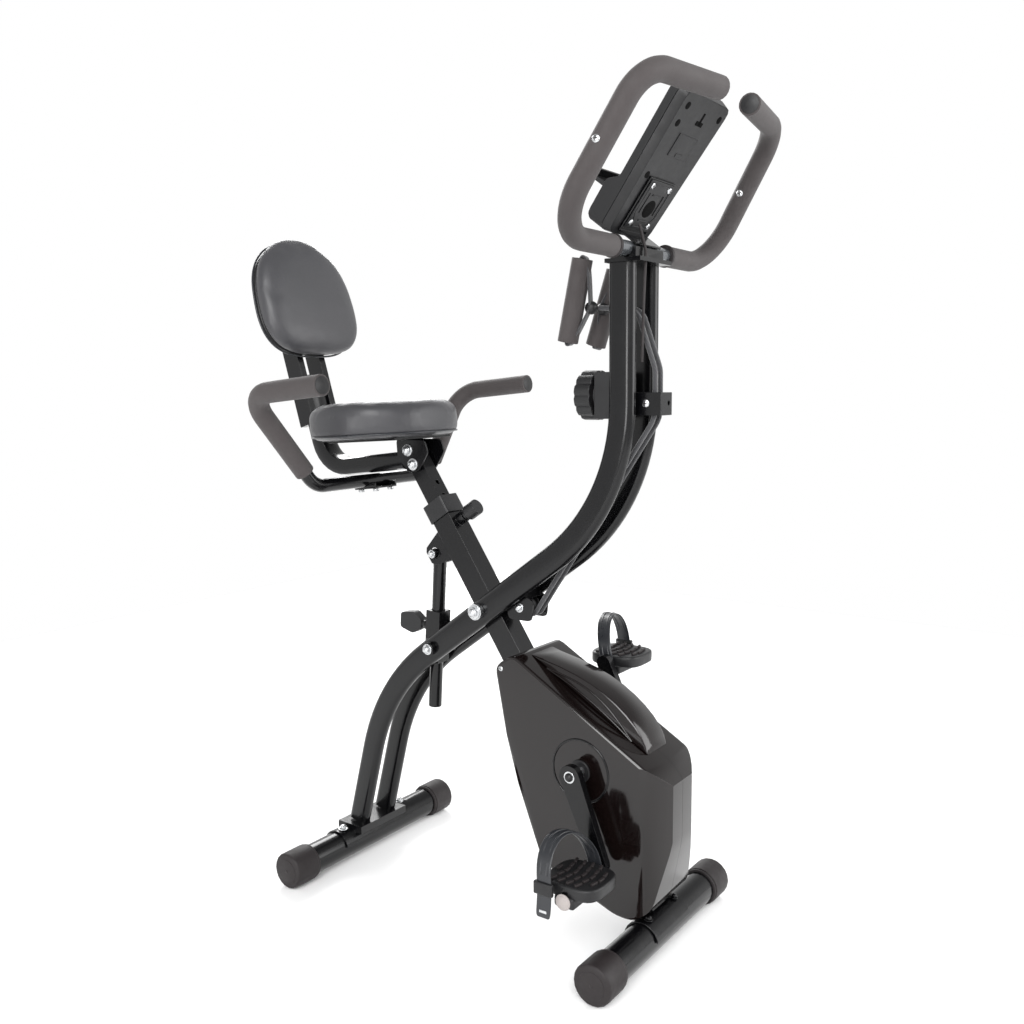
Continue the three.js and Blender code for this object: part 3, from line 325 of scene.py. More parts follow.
def sweep(
    name: str,
    route: Sequence[Vector],
    radius: float = 1.0,
    section: bpy.types.Object | None = None,
    smooth: bool = False,
) -> bpy.types.Object:
    """Sweeps a round or given section along a route and makes it a mesh.

    Args:
        name: The piece's name.
        route: Points of the row frame.
        radius: Radius of a round section, in mm.
        section: Another section instead, which is used up.
        smooth: Whether the route is drawn as one smooth curve near its points.

    Returns:
        The swept piece, with closed ends.
    """
    curve = bpy.data.curves.new(name, "CURVE")
    curve.dimensions = "3D"
    curve.use_fill_caps = True
    curve.twist_mode = "MINIMUM"
    spline = curve.splines.new("NURBS" if smooth else "POLY")
    spline.points.add(len(route) - 1)
    for point, place in zip(spline.points, route):
        point.co = (*place, 1)
    if smooth:
        spline.use_endpoint_u = True
        spline.order_u = 4
        spline.resolution_u = 6
    if section is None:
        curve.bevel_depth = radius * MM
        curve.bevel_resolution = 7
    else:
        curve.bevel_mode = "OBJECT"
        curve.bevel_object = section
    obj = bpy.data.objects.new(name, curve)
    bpy.context.scene.collection.objects.link(obj)
    focus(obj)
    bpy.ops.object.convert(target="MESH")
    tube = named(name)
    if section is not None:
        bpy.data.objects.remove(section)
    bpy.ops.object.mode_set(mode="EDIT")
    bpy.ops.mesh.select_all(action="SELECT")
    bpy.ops.mesh.remove_doubles(threshold=WELD)
    bpy.ops.mesh.normals_make_consistent(inside=False)
    bpy.ops.object.mode_set(mode="OBJECT")
    bpy.ops.object.shade_smooth_by_angle(angle=ROUND_SHADING)
    return tube


def disc(
    name: str, centre: Vector, axis: Vector, radius: float, depth: float, sides: int = 40
) -> bpy.types.Object:
    """Makes the blank of a disc, washer or nut, to be softened or merged.

    Args:
        name: The object's name.
        centre: The middle of its base.
        axis: The way it stands up from there.
        radius: Its radius, in mm.
        depth: Its height, in mm.
        sides: How many sides it has.

    Returns:
        The blank.
    """
    focus_none()
    towards = axis.normalized()
    bpy.ops.mesh.primitive_cylinder_add(
        vertices=sides,
        radius=radius * MM,
        depth=depth * MM,
        location=centre + towards * depth * MM / 2,
        rotation=towards.to_track_quat("Z", "Y").to_euler(),
    )
    return settle(named(name))


def focus_none() -> None:
    """Deselects everything, so that the next primitive stands alone."""
    if bpy.context.mode != "OBJECT":
        bpy.ops.object.mode_set(mode="OBJECT")
    bpy.ops.object.select_all(action="DESELECT")


def slab(
    name: str, frame: Matrix, low: Sequence[float], high: Sequence[float]
) -> bpy.types.Object:
    """Makes the blank of a plate or block, to be softened.

    Args:
        name: The object's name.
        frame: Its local frame.
        low: Its lowest corner in that frame, in mm.
        high: Its highest corner in that frame, in mm.

    Returns:
        The blank.
    """
    focus_none()
    bpy.ops.mesh.primitive_cube_add(size=1)
    block = named(name)
    size = [(b - a) * MM for a, b in zip(low, high)]
    centre = Vector([(a + b) / 2 * MM for a, b in zip(low, high)])
    block.matrix_world = frame @ Matrix.Translation(centre) @ Matrix.Diagonal((*size, 1))
    return settle(block)


def dome(
    name: str, centre: Vector, axis: Vector, radius: float, height: float
) -> bpy.types.Object:
    """Makes a cap: half of a ball, flattened.

    Args:
        name: The object's name.
        centre: The middle of its flat base.
        axis: The way it bulges.
        radius: Its radius, in mm.
        height: Its height, in mm.

    Returns:
        The cap, closed below.
    """
    focus_none()
    bpy.ops.mesh.primitive_uv_sphere_add(segments=32, ring_count=16, radius=radius * MM)
    ball = named(name)
    bpy.ops.object.mode_set(mode="EDIT")
    bpy.ops.mesh.select_all(action="SELECT")
    bpy.ops.mesh.bisect(plane_co=(0, 0, 0), plane_no=(0, 0, 1), use_fill=True, clear_inner=True)
    bpy.ops.object.mode_set(mode="OBJECT")
    turn = axis.normalized().to_track_quat("Z", "Y").to_matrix().to_4x4()
    ball.matrix_world = Matrix.Translation(centre) @ turn @ Matrix.Diagonal((1, 1, height / radius, 1))
    settle(ball)
    bpy.ops.object.shade_smooth_by_angle(angle=ROUND_SHADING)
    return ball


# ---- Finishes ----------------------------------------------------------------------------------


TINT_PATCH = 1 / 9  # metres across a patch where the colour drifts
SMEAR_PATCH = 1 / 42  # metres across a smear where the gloss changes
WAVE_UNIT = 6.3  # a wave texture's bands repeat about this much closer than its scale says
BRUSH_STRETCH = 14  # a brushed line is this much longer than wide


class Grain(Enum):
    """The small relief of a surface."""

    ORANGE_PEEL = "orange peel"
    PEBBLE = "pebble"
    CELLS = "cells"
    WEAVE = "weave"
    BRUSHED = "brushed"


@dataclass(frozen=True)
class Finish:
    """A surface finish.

    Attributes:
        name: The material's name.
        slot: The record's material slot.
        colour: Base colour in sRGB.
        worn: The colour it varies towards.
        roughness: Its lowest roughness.
        spread: How much rougher it is in places.
        grain: The kind of small relief.
        pitch: Size of that relief, in mm.
        depth: Height of that relief, in mm.
        metallic: 1 for bare metal.
        coat: Weight of a clear coat.
        sheen: Weight of a soft sheen.
        gloss: Specular level, 0.5 for a plain plastic.
    """

    name: str
    slot: str
    colour: str
    worn: str
    roughness: float
    spread: float
    grain: Grain
    pitch: float
    depth: float
    metallic: float = 0.0
    coat: float = 0.0
    sheen: float = 0.0
    gloss: float = 0.5

    def material(self) -> bpy.types.Material:
        """Returns the material, made once."""
        return bpy.data.materials.get(self.name) or self.build()

    def build(self) -> bpy.types.Material:
        """Builds the node tree."""
        made = bpy.data.materials.new(self.name)
        made.use_nodes = True
        tree = made.node_tree
        shader = tree.nodes["Principled BSDF"]
        shader.inputs["Metallic"].default_value = self.metallic
        shader.inputs["Coat Weight"].default_value = self.coat
        shader.inputs["Coat Roughness"].default_value = 0.08
        shader.inputs["Specular IOR Level"].default_value = self.gloss
        shader.inputs["Sheen Weight"].default_value = self.sheen
        shader.inputs["Sheen Roughness"].default_value = 0.6
        place = add_node(tree, "ShaderNodeTexCoord")
        position = place.outputs["Object"]
        broad = add_node(
            tree,
            "ShaderNodeTexNoise",
            {"Scale": 1 / TINT_PATCH, "Detail": 5.0, "Roughness": 0.6},
            Vector=position,
        )
        shades = {"A": linear(self.colour), "B": linear(self.worn)}
        tint = add_node(tree, "ShaderNodeMix", shades, kind="RGBA")
        tree.links.new(broad.outputs["Fac"], tint.inputs["Factor"])
        tree.links.new(tint.outputs[2], shader.inputs["Base Color"])
        smear = add_node(
            tree,
            "ShaderNodeTexNoise",
            {"Scale": 1 / SMEAR_PATCH, "Detail": 6.0, "Roughness": 0.7},
            Vector=position,
        )
        rough = add_node(
            tree,
            "ShaderNodeMapRange",
            {
                "From Min": 0.3,
                "From Max": 0.7,
                "To Min": self.roughness,
                "To Max": self.roughness + self.spread,
            },
            Value=smear.outputs["Fac"],
        )
        tree.links.new(rough.outputs["Result"], shader.inputs["Roughness"])
        bump = add_node(tree, "ShaderNodeBump", {"Strength": 1.0, "Distance": self.depth * MM})
        tree.links.new(self.relief(tree, position), bump.inputs["Height"])
        tree.links.new(bump.outputs["Normal"], shader.inputs["Normal"])
        return made

    def relief(
        self, tree: bpy.types.NodeTree, position: bpy.types.NodeSocket
    ) -> bpy.types.NodeSocket:
        """Adds the grain's pattern.

        Args:
            tree: The node tree.
            position: The output that gives object coordinates.

        Returns:
            The pattern's height output.
        """
        scale = 1 / (self.pitch * MM)
        if self.grain is Grain.PEBBLE:
            shape = {"Scale": scale, "Randomness": 0.9}
            cells = add_node(tree, "ShaderNodeTexVoronoi", shape, Vector=position)
            cells.feature = "SMOOTH_F1"
            return cells.outputs["Distance"]
        if self.grain is Grain.WEAVE:
            shape = {"Scale": scale / WAVE_UNIT, "Distortion": 0.6}
            across = add_node(tree, "ShaderNodeTexWave", shape, Vector=position)
            across.bands_direction = "DIAGONAL"
            return across.outputs["Fac"]
        shape = {"Scale": scale, "Detail": 2.0}
        if self.grain is Grain.CELLS:
            shape = {"Scale": scale, "Detail": 8.0, "Roughness": 0.75}
        if self.grain is Grain.BRUSHED:
            shape = {"Scale": scale, "Detail": 3.0}
            drawn = add_node(
                tree, "ShaderNodeMapping", {"Scale": (1, 1, BRUSH_STRETCH)}, Vector=position
            )
            position = drawn.outputs["Vector"]
        return add_node(tree, "ShaderNodeTexNoise", shape, Vector=position).outputs["Fac"]


def add_node(
    tree: bpy.types.NodeTree,
    kind_name: str,
    settings: dict | None = None,
    kind: str = "",
    **links: bpy.types.NodeSocket,
) -> bpy.types.Node:
    """Adds a node with its settings and links.

    Args:
        tree: The node tree.
        kind_name: The node's type.
        settings: Values by input name.
        kind: The data type, on nodes that have one.
        **links: Output sockets by input name.

    Returns:
        The node.
    """
    node = tree.nodes.new(kind_name)
    if kind:
        node.data_type = kind
    usable = [s for s in node.inputs if s.enabled]
    for key, value in (settings or {}).items():
        next(s for s in usable if s.name == key).default_value = value
    for key, output in links.items():
        tree.links.new(output, next(s for s in usable if s.name == key))
    return node


# Stove-dried black enamel over steel tube: a wet shine with a faint orange peel.
PAINT = Finish(
    "black enamel on steel", "frame_paint", "#050506", "#0a0a0c", 0.16, 0.1,
    Grain.ORANGE_PEEL, 2.4, 0.004, coat=0.1, gloss=0.3,
)
# Metallic grey lacquer on the bare cross tube: a soft silver band along its top.
GREY_LACQUER = Finish(
    "satin grey lacquer", "frame_paint", "#55585c", "#6c6f73", 0.2, 0.12,
    Grain.ORANGE_PEEL, 2.0, 0.01, metallic=0.7, coat=0.4,
)
# Polished black ABS: near-mirror, so that the room shows in it, with a slow moulding ripple.
SHELL = Finish(
    "gloss ABS", "gloss_shell", "#0a0606", "#120c0b", 0.07, 0.06,
    Grain.ORANGE_PEEL, 22.0, 0.02, coat=0.1, gloss=0.42,
)
# Spark-eroded polypropylene: an even fine matt grain that keeps highlights wide.
MOULDED = Finish(
    "textured polypropylene", "moulded_plastic", "#101011", "#18181a", 0.36, 0.16,
    Grain.CELLS, 0.7, 0.03, gloss=0.4,
)
# Closed-cell NBR foam: dark warm grey, dull, with pinhole pores.
FOAM = Finish(
    "closed-cell foam", "foam", "#2c2828", "#3a3434", 0.66, 0.14,
    Grain.CELLS, 1.1, 0.14, sheen=0.08,
)
# Polyurethane leather over sponge: a pebbled grain and a soft satin.
LEATHER = Finish(
    "polyurethane leather", "pad_cover", "#2c2d30", "#39383b", 0.36, 0.14,
    Grain.PEBBLE, 1.5, 0.08, sheen=0.04,
)
# Bright zinc plate on bolts: clear reflections with drawn lines.
ZINC = Finish(
    "zinc plate", "zinc", "#b4b6b8", "#d6d7d8", 0.16, 0.2,
    Grain.BRUSHED, 0.8, 0.01, metallic=1.0,
)
# Bare iron casting: coarse and dark, so that it takes no clear reflection.
IRON = Finish(
    "iron casting", "cast_iron", "#3b3c3e", "#565759", 0.45, 0.25,
    Grain.CELLS, 2.0, 0.12, metallic=0.8,
)
# Moulded rubber: a warm black with a broad weak shine.
RUBBER = Finish(
    "moulded rubber", "rubber", "#161213", "#221c1d", 0.5, 0.2,
    Grain.CELLS, 0.9, 0.04, gloss=0.4,
)
# Soft vinyl strap: smooth, with a slightly greasy shine.
VINYL = Finish(
    "soft vinyl", "rubber", "#1a1b1e", "#2a2c30", 0.24, 0.14, Grain.ORANGE_PEEL, 3.0, 0.03
)
# Painted shade for a deep recess in moulded plastic: a matt, almost black sheet stands for the hollow, as
# no light gets in.
SHADOW = Finish(
    "painted recess shade", "moulded_plastic", "#020202", "#050505", 0.8, 0.1,
    Grain.CELLS, 0.9, 0.02, gloss=0.1,
)
# Pale glass-filled nylon plug: a dull warm grey.
PLUG_NYLON = Finish(
    "glass-filled nylon", "zinc", "#8f8886", "#a39c99", 0.4, 0.15, Grain.CELLS, 0.9, 0.03
)
# Woven polyester webbing: a diagonal twill of fine ridges, drawn 1.4 mm apart so that they show.
WEBBING = Finish(
    "polyester webbing", "rubber", "#1c1c1f", "#2b2b2f", 0.7, 0.15,
    Grain.WEAVE, 1.4, 0.25, sheen=0.3,
)
# The display's window: a dark tinted pane with a clear gloss.
GLASS = Finish(
    "tinted window", "screen_glass", "#232b2a", "#1a211f", 0.04, 0.03,
    Grain.ORANGE_PEEL, 30.0, 0.005, coat=1.0,
)


@dataclass
class CadDresser:
    """Gives each carried-over CAD node its finish and rounded, smooth edges.

    Attributes:
        nodes: The CAD nodes by name.
        crease: Edges sharper than this many degrees are rounded.
    """

    nodes: dict[str, bpy.types.Object]
    crease: float = 38

    def dress(self, finish: Finish, width: float, names: Iterable[str]) -> None:
        """Dresses some nodes alike.

        Args:
            finish: Their finish.
            width: How far their edges are rounded, in mm.
            names: The nodes.
        """
        for name in names:
            node = self.nodes[name]
            node.data.materials.clear()
            node.data.materials.append(finish.material())
            focus(node)
            if node.data.has_custom_normals:
                bpy.ops.mesh.customdata_custom_splitnormals_clear()
            bpy.ops.object.shade_smooth()
            weld = node.modifiers.new("weld", "WELD")
            weld.merge_threshold = CAD_WELD
            edge = node.modifiers.new("rounded edges", "BEVEL")
            edge.width = width * MM
            edge.segments = 2
            edge.limit_method = "ANGLE"
            edge.angle_limit = math.radians(self.crease)
            edge.harden_normals = True
            LOG.info("dressed %s", name)


# ---- Frames and tubes --------------------------------------------------------------------------


@dataclass
class Uprights:
    """The two curved tubes of the rear frame, of flat oval section.

    Attributes:
        spacing: Between the middles of the tubes.
        width: Of a tube, across the bike.
        depth: Of a tube, in its plane.
        foot: X and Z of the foot.
        sunk: How far back and down from the foot the tube's straight line aims.
        knee: Where the tube leaves that line, with its radius.
        bend: Where it turns upright, with its radius.
        top: Height of its upper end.
    """

    spacing: float = 65
    width: float = 20
    depth: float = 40
    foot: tuple[float, float] = (6, 63.3)
    sunk: tuple[float, float] = (10, 38)
    knee: Corner = (75, 0, 319, 340)
    bend: Corner = (538, 0, 658, 285)
    top: float = 995

    def build(self) -> None:
        """Builds both tubes, each swept from its foot to under the handlebar."""
        foot_x, foot_z = self.foot
        back, down = self.sunk
        lean = (self.knee[0] - foot_x + back) / (self.knee[2] - foot_z + down)
        for label, side in SIDES:
            y = side * self.spacing / 2
            route = fillet(
                [
                    (foot_x - back + lean * down, y, foot_z, 0),
                    (self.knee[0], y, self.knee[2], self.knee[3]),
                    (self.bend[0], y, self.bend[2], self.bend[3]),
                    (self.bend[0], y, self.top, 0),
                ],
                0.05,
            )
            section = oval_section(self.width, self.depth)
            tube = sweep(f"curved_upright_{label}", route, section=section)
            fit(tube, PAINT, "rear_frame")
            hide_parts(f"upright_{label}")


@dataclass
class GripTube:
    """A foam sleeve on a tube, with a rounded rim at each end and a cap in the free one.

    Attributes:
        name: The sleeve's name.
        route: Its middle line, which ends at the free end.
        radius: Its outer radius, in mm.
        body: The CAD body that it rides on.
        replaces: The CAD node that it stands for.
    """

    name: str
    route: list[Vector]
    radius: float
    body: str
    replaces: str

    def build(self) -> None:
        """Builds the sleeve and the cap in its free end."""
        sleeve = sweep(self.name, self.route, self.radius)
        soften(sleeve, 2.6, 3, 60)
        fit(sleeve, FOAM, self.body)
        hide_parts(self.replaces)
        end, before = self.route[-1], self.route[-2]
        axis = (end - before).normalized()
        button = dome("button", end - axis * 1.2 * MM, axis, self.radius * 0.72, 2.6)
        ring = disc("ring", end - axis * 0.6 * MM, axis, self.radius * 0.82, 1.2)
        fit(merge(f"{self.name}_end_cap", [button, soften(ring, 0.4)]), MOULDED, self.body)


@dataclass
class Handlebar:
    """The tall horns with their foam sleeves and the screws of the heart-rate sensors.

    Attributes:
        z: Height of the cross tube.
        x: How far forward the cross tube is.
        bare: Half of the cross tube's length between the sleeves.
        half: Half of the width over the horns' lower bends.
        top: X, Y and Z of a horn's upper bend.
        tip: X, Y and Z of a horn's tip.
        tube_radius: Of the cross tube.
        grip_radius: Of the sleeves.
        hidden: How far the cross tube runs into each sleeve.
        screw_share: Where a sensor's screw is, from the lower bend to the upper.
    """

    z: float = 1013
    x: float = 546
    bare: float = 77
    half: float = 221
    top: tuple[float, float, float] = (660, 200, 1195)
    tip: tuple[float, float, float] = (684, 47, 1197)
    tube_radius: float = 11
    grip_radius: float = 15
    hidden: float = 8
    screw_share: float = 0.55

    def horn(self, side: int) -> list[Vector]:
        """Draws a horn's middle line.

        Args:
            side: -1 for the right horn, 1 for the left.

        Returns:
            Its points, from the cross tube to the tip.
        """
        return fillet(
            [
                (self.x, side * self.bare, self.z, 0),
                (self.x, side * self.half, self.z, 62),
                (self.top[0], side * self.top[1], self.top[2], 50),
                (self.tip[0], side * self.tip[1], self.tip[2], 0),
            ]
        )

    def build(self) -> None:
        """Builds the tube, the sleeves, their collars and the sensors' screws."""
        reach = self.bare + self.hidden
        ends = [at(self.x, y, self.z) for y in (-reach, reach)]
        across = sweep("handlebar_cross_tube", ends, self.tube_radius)
        fit(across, GREY_LACQUER, "rear_frame")
        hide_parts("handlebar_tube")
        for label, side in SIDES:
            GripTube(
                f"horn_sleeve_{label}",
                self.horn(side),
                self.grip_radius,
                "rear_frame",
                f"handlebar_grip_{label}",
            ).build()
            outward = Vector((0, side, 0))
            foot = at(self.x, side * (self.bare - 5), self.z)
            collar = disc(f"horn_collar_{label}", foot, outward, self.grip_radius + 1.2, 6)
            fit(soften(collar, 1.2), RUBBER, "rear_frame")
            start = at(self.x, side * self.half, self.z)
            end = at(self.top[0], side * self.top[1], self.top[2])
            along = (end - start).normalized()
            out = Vector((0, -1, 0))
            out = (out - along * out.dot(along)).normalized()
            seat = start.lerp(end, self.screw_share) + out * (self.grip_radius - 0.6) * MM
            Screw(f"sensor_screw_{label}", seat, out, 5.2).build("rear_frame")


@dataclass
class SideHandles:
    """The bent tube under the seat, with a foam sleeve on each arm.

    Attributes:
        end: X, Y and Z of an arm's free end.
        top: Of its upper bend.
        low: Of its lower bend.
        top_bend: Radius of the upper bend.
        low_bend: Radius of the lower bend.
        sleeve_share: How far down from the upper bend to the lower the sleeve reaches.
        radius: Of the tube.
        grip_radius: Of the sleeves.
        clamp_lean: Radians that the clamp under the seat tube leans.
    """

    end: tuple[float, float, float] = (177, 256, 832)
    top: tuple[float, float, float] = (18, 256, 818)
    low: tuple[float, float, float] = (33, 140, 670)
    top_bend: float = 44
    low_bend: float = 40
    sleeve_share: float = 0.84
    radius: float = 11
    grip_radius: float = 16
    clamp_lean: float = 0.11

    def build(self) -> None:
        """Builds the tube, the sleeves, and the clamp on the seat tube."""
        foot = [a + (b - a) * self.sleeve_share for a, b in zip(self.top, self.low)]
        ring = []
        for side in (-1, 1):
            arm = [
                self.corner(self.end, side),
                self.corner(self.top, side, self.top_bend),
                self.corner(self.low, side, self.low_bend),
            ]
            ring += arm if side < 0 else list(reversed(arm))
        tube = sweep("side_handle_bar", fillet(ring), self.radius)
        fit(tube, PAINT, "seat")
        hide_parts("side_handle_tube")
        for label, side in SIDES:
            arm = [
                self.corner(foot, side),
                self.corner(self.top, side, self.top_bend),
                self.corner(self.end, side),
            ]
            GripTube(
                f"side_sleeve_{label}", fillet(arm), self.grip_radius, "seat", f"side_grip_{label}"
            ).build()
        self.build_clamp()

    def corner(self, point: Sequence[float], side: int, bend: float = 0) -> Corner:
        """Returns a corner on one side of the bike, with its bend's radius."""
        return (point[0], side * point[1], point[2], bend)

    def build_clamp(self) -> None:
        """Builds the bent plate that holds the bar against the seat tube, with its four nuts."""
        middle_low = Matrix.Translation(at(self.low[0], 0, self.low[2]))
        frame = middle_low @ Matrix.Rotation(-self.clamp_lean, 4, "Y")
        plate = slab("side_handle_clamp", frame, (-24, -27, -14.5), (24, 27, -11.5))
        lips = [slab("lip", frame, (-24, y, -12.5), (24, y + 3, -4)) for y in (-27, 24)]
        fit(soften(merge("side_handle_clamp", [plate, *lips]), 0.9), PAINT, "seat")
        for i, (x, y) in enumerate([(-17, -18), (17, -18), (-17, 18), (17, 18)]):
            foot = frame @ Vector((x * MM, y * MM, -14.5 * MM))
            nut = disc(f"clamp_nut_{i}", foot, Vector((0.1, 0, -1)), 5.5, 5, 6)
            fit(soften(nut, 0.6), ZINC, "seat")


# ---- Fasteners ---------------------------------------------------------------------------------


@dataclass
class Screw:
    """A round-headed screw with a cross recess.

    Attributes:
        name: The screw's name.
        centre: The middle of its head's base.
        axis: The way the head faces.
        radius: Of the head, in mm.
    """

    name: str
    centre: Vector
    axis: Vector
    radius: float

    def build(self, body: str) -> None:
        """Builds the head and the two dark bars of its recess, which is not cut: the bars are painted
        shade.

        Args:
            body: The CAD body that the screw rides on.
        """
        head = dome(self.name, self.centre, self.axis, self.radius, self.radius * 0.45)
        fit(head, ZINC, body)
        turn = self.axis.normalized().to_track_quat("Z", "Y").to_matrix().to_4x4()
        frame = Matrix.Translation(self.centre) @ turn
        reach, half = self.radius * 0.55, self.radius * 0.11
        low, high = self.radius * 0.36, self.radius * 0.47
        # The cross recess is not cut: two dark rubber bars stand for it, painted shade.
        bars = [
            slab("bar", frame, (-reach, -half, low), (reach, half, high)),
            slab("bar", frame, (-half, -reach, low), (half, reach, high)),
        ]
        fit(merge(f"{self.name}_recess", [soften(bar, 0.1) for bar in bars]), RUBBER, body)


@dataclass
class CapBolt:
    """A washer under a hexagon head with a domed top.

    Attributes:
        name: The bolt's name.
        centre: The middle of the washer's base.
        axis: The way the head faces.
        radius: Of the hexagon, in mm.
        body: The CAD body that it rides on.
        finish: Its finish.
        washer: The washer's thickness, in mm.
    """

    name: str
    centre: Vector
    axis: Vector
    radius: float
    body: str
    finish: Finish = ZINC
    washer: float = 1.4

    def build(self) -> None:
        """Builds washer, hexagon and dome as one piece."""
        axis = self.axis.normalized()
        washer = soften(disc("washer", self.centre, axis, self.radius * 1.25, self.washer), 0.4)
        height = self.radius * 0.55
        foot = self.centre + axis * self.washer * MM
        hexagon = soften(disc("hexagon", foot, axis, self.radius, height, 6), 0.6)
        top = self.centre + axis * (self.washer + height) * MM
        crown = dome("crown", top - axis * 0.2 * MM, axis, self.radius * 0.78, self.radius * 0.42)
        fit(merge(self.name, [washer, hexagon, crown]), self.finish, self.body)


# ---- Cushions ----------------------------------------------------------------------------------


@dataclass
class Cushion:
    """A stuffed pad: an outline with a crown, pressed out by its filling.

    Attributes:
        name: The piece's name.
        frame: Its local frame, with Z out of the padded face.
        outline: Gives the outline's (x, y) in mm for an angle.
        thickness: From the board to the crown, in mm.
        rim: How far the padded edge is rounded, in mm.
        foot: How far the edge at the board is rounded, in mm.
        crown: How far the face rises in its middle, in mm.
        body: The CAD body that it rides on.
        replaces: The CAD node that it stands for.
        points: Corners of the outline.
        voxel: Size of the cover's mesh before its last subdivision, in mm.
        pressure: How hard the filling presses.
        swell: How far the filling may move the cover, in mm.
        held: The cover is nailed to the board below this height, in mm.
    """

    name: str
    frame: Matrix
    outline: Outline
    thickness: float
    rim: float
    foot: float
    crown: float
    body: str
    replaces: str
    points: int = 72
    voxel: float = 4.5
    pressure: float = 4
    swell: float = 2.5
    held: float = 3

    def build(self) -> None:
        """Builds the pad and lets its filling press the cover out."""
        focus_none()
        bpy.ops.mesh.primitive_circle_add(vertices=self.points, radius=1, fill_type="NGON")
        pad = named(self.name)
        for vertex in pad.data.vertices:
            x, y = self.outline(math.atan2(vertex.co.y, vertex.co.x))
            vertex.co = (x * MM, y * MM, 0)
        bpy.ops.object.mode_set(mode="EDIT")
        bpy.ops.mesh.select_all(action="SELECT")
        rise = (0, 0, (self.thickness - self.crown) * MM)
        bpy.ops.mesh.extrude_region_move(TRANSFORM_OT_translate={"value": rise})
        bpy.ops.mesh.select_all(action="SELECT")
        bpy.ops.mesh.normals_make_consistent(inside=False)
        bpy.ops.object.mode_set(mode="OBJECT")
        self.round_edge(pad, top=True)
        self.round_edge(pad, top=False)
        modify(pad, "REMESH", mode="VOXEL", voxel_size=self.voxel * MM)
        self.raise_crown(pad)
        self.fill(pad)
        modify(pad, "SMOOTH", factor=0.5, iterations=16)
        modify(pad, "SUBSURF", levels=1, render_levels=1)
        focus(pad)
        bpy.ops.object.shade_smooth()
        pad.matrix_world = self.frame
        settle(pad)
        fit(pad, LEATHER, self.body)
        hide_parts(self.replaces)

    def round_edge(self, pad: bpy.types.Object, top: bool) -> None:
        """Rounds one of the pad's two edges.

        Args:
            pad: The pad.
            top: Whether it is the padded edge, not the one at the board.
        """
        focus(pad)
        high = (self.thickness - self.crown) * MM
        level = high if top else 0.0
        for edge in pad.data.edges:
            ends = [pad.data.vertices[i].co.z for i in edge.vertices]
            edge.select = all(abs(z - level) < 1e-6 for z in ends)
        for vertex in pad.data.vertices:
            vertex.select = abs(vertex.co.z - level) < 1e-6
        bpy.ops.object.mode_set(mode="EDIT")
        bpy.ops.mesh.select_mode(type="EDGE")
        reach = (self.rim if top else self.foot) * MM
        bpy.ops.mesh.bevel(offset=reach, segments=6, affect="EDGES")
        bpy.ops.mesh.select_mode(type="VERT")
        bpy.ops.object.mode_set(mode="OBJECT")

    def raise_crown(self, pad: bpy.types.Object) -> None:
        """Lifts the face evenly towards its middle."""
        reach_x = max(abs(self.outline(a)[0]) for a in (0, math.pi))
        reach_y = max(abs(self.outline(a)[1]) for a in (math.pi / 2, -math.pi / 2))
        for vertex in pad.data.vertices:
            out = min(1.0, math.hypot(vertex.co.x / MM / reach_x, vertex.co.y / MM / reach_y))
            level = vertex.co.z / MM / (self.thickness - self.crown)
            vertex.co.z += self.crown * MM * max(0.0, level) ** 2 * (1 - out * out)

    def fill(self, pad: bpy.types.Object) -> None:
        """Presses the cover out by a cloth simulation, held along the board."""
        rest = [vertex.co.copy() for vertex in pad.data.vertices]
        pinned = pad.vertex_groups.new(name="board")
        pinned.add([v.index for v in pad.data.vertices if v.co.z < self.held * MM], 1.0, "REPLACE")
        cloth = pad.modifiers.new("cover", "CLOTH")
        settings = cloth.settings
        settings.quality = 4
        settings.use_pressure = True
        settings.uniform_pressure_force = self.pressure
        settings.tension_stiffness = 40
        settings.compression_stiffness = 40
        settings.bending_stiffness = 4
        settings.vertex_group_mass = "board"
        settings.effector_weights.gravity = 0
        for frame in range(1, 21):
            bpy.context.scene.frame_set(frame)
        focus(pad)
        bpy.ops.object.modifier_apply(modifier=cloth.name)
        cap = self.swell * MM
        for vertex, before in zip(pad.data.vertices, rest):
            moved = vertex.co - before
            vertex.co = before + (moved if moved.length <= cap else moved.normalized() * cap)
        pad.vertex_groups.clear()


def squircle(angle: float, half_x: float, half_y: float, power: float) -> tuple[float, float]:
    """Gives a point of a rounded outline.

    Args:
        angle: Roughly the way to the point, in radians.
        half_x: Half of the outline's length.
        half_y: Half of its width.
        power: 2 for an ellipse, more for a squarer one.

    Returns:
        The point's X and Y.
    """
    c, s = math.cos(angle), math.sin(angle)
    scale = (abs(c) ** power + abs(s) ** power) ** (-1 / power)
    return half_x * c * scale, half_y * s * scale


@dataclass
class Seat:
    """The seat: cushion, board and seam.

    Attributes:
        x: Where its middle is.
        bottom: Height of its underside there.
        half_length: Half of its length.
        half_width: Half of its width.
        height: From the board to the crown.
        tilt: Radians that its nose is raised.
        nose: Share of the width that the nose is drawn in by.
    """

    x: float = 63
    bottom: float = 744
    half_length: float = 110
    half_width: float = 129
    height: float = 58
    tilt: float = 0.06
    nose: float = 0.1

    def outline(self, angle: float) -> tuple[float, float]:
        """Gives the plan's outline at an angle, drawn in a little towards the nose."""
        x, y = squircle(angle, self.half_length, self.half_width, 2.35)
        return x, y * (1 - self.nose * max(0.0, x / self.half_length) ** 2)

    def build(self) -> None:
        """Builds the cushion, the seam round its foot and the board."""
        frame = Matrix.Translation(at(self.x, 0, self.bottom)) @ Matrix.Rotation(-self.tilt, 4, "Y")
        Cushion(
            "seat_pad",
            frame,
            self.outline,
            self.height + 1,
            rim=17,
            foot=7,
            crown=4,
            body="seat",
            replaces="seat_cushion",
        ).build()
        seam = sweep("seat_seam", rim_line(self.outline, frame, 5.5), 1.5)
        fit(seam, VINYL, "seat", "pad_cover")
        board = outline_plate("seat_board", self.outline, 0.86, -1.6, 2.5, frame)
        fit(soften(board, 1.2), MOULDED, "seat")


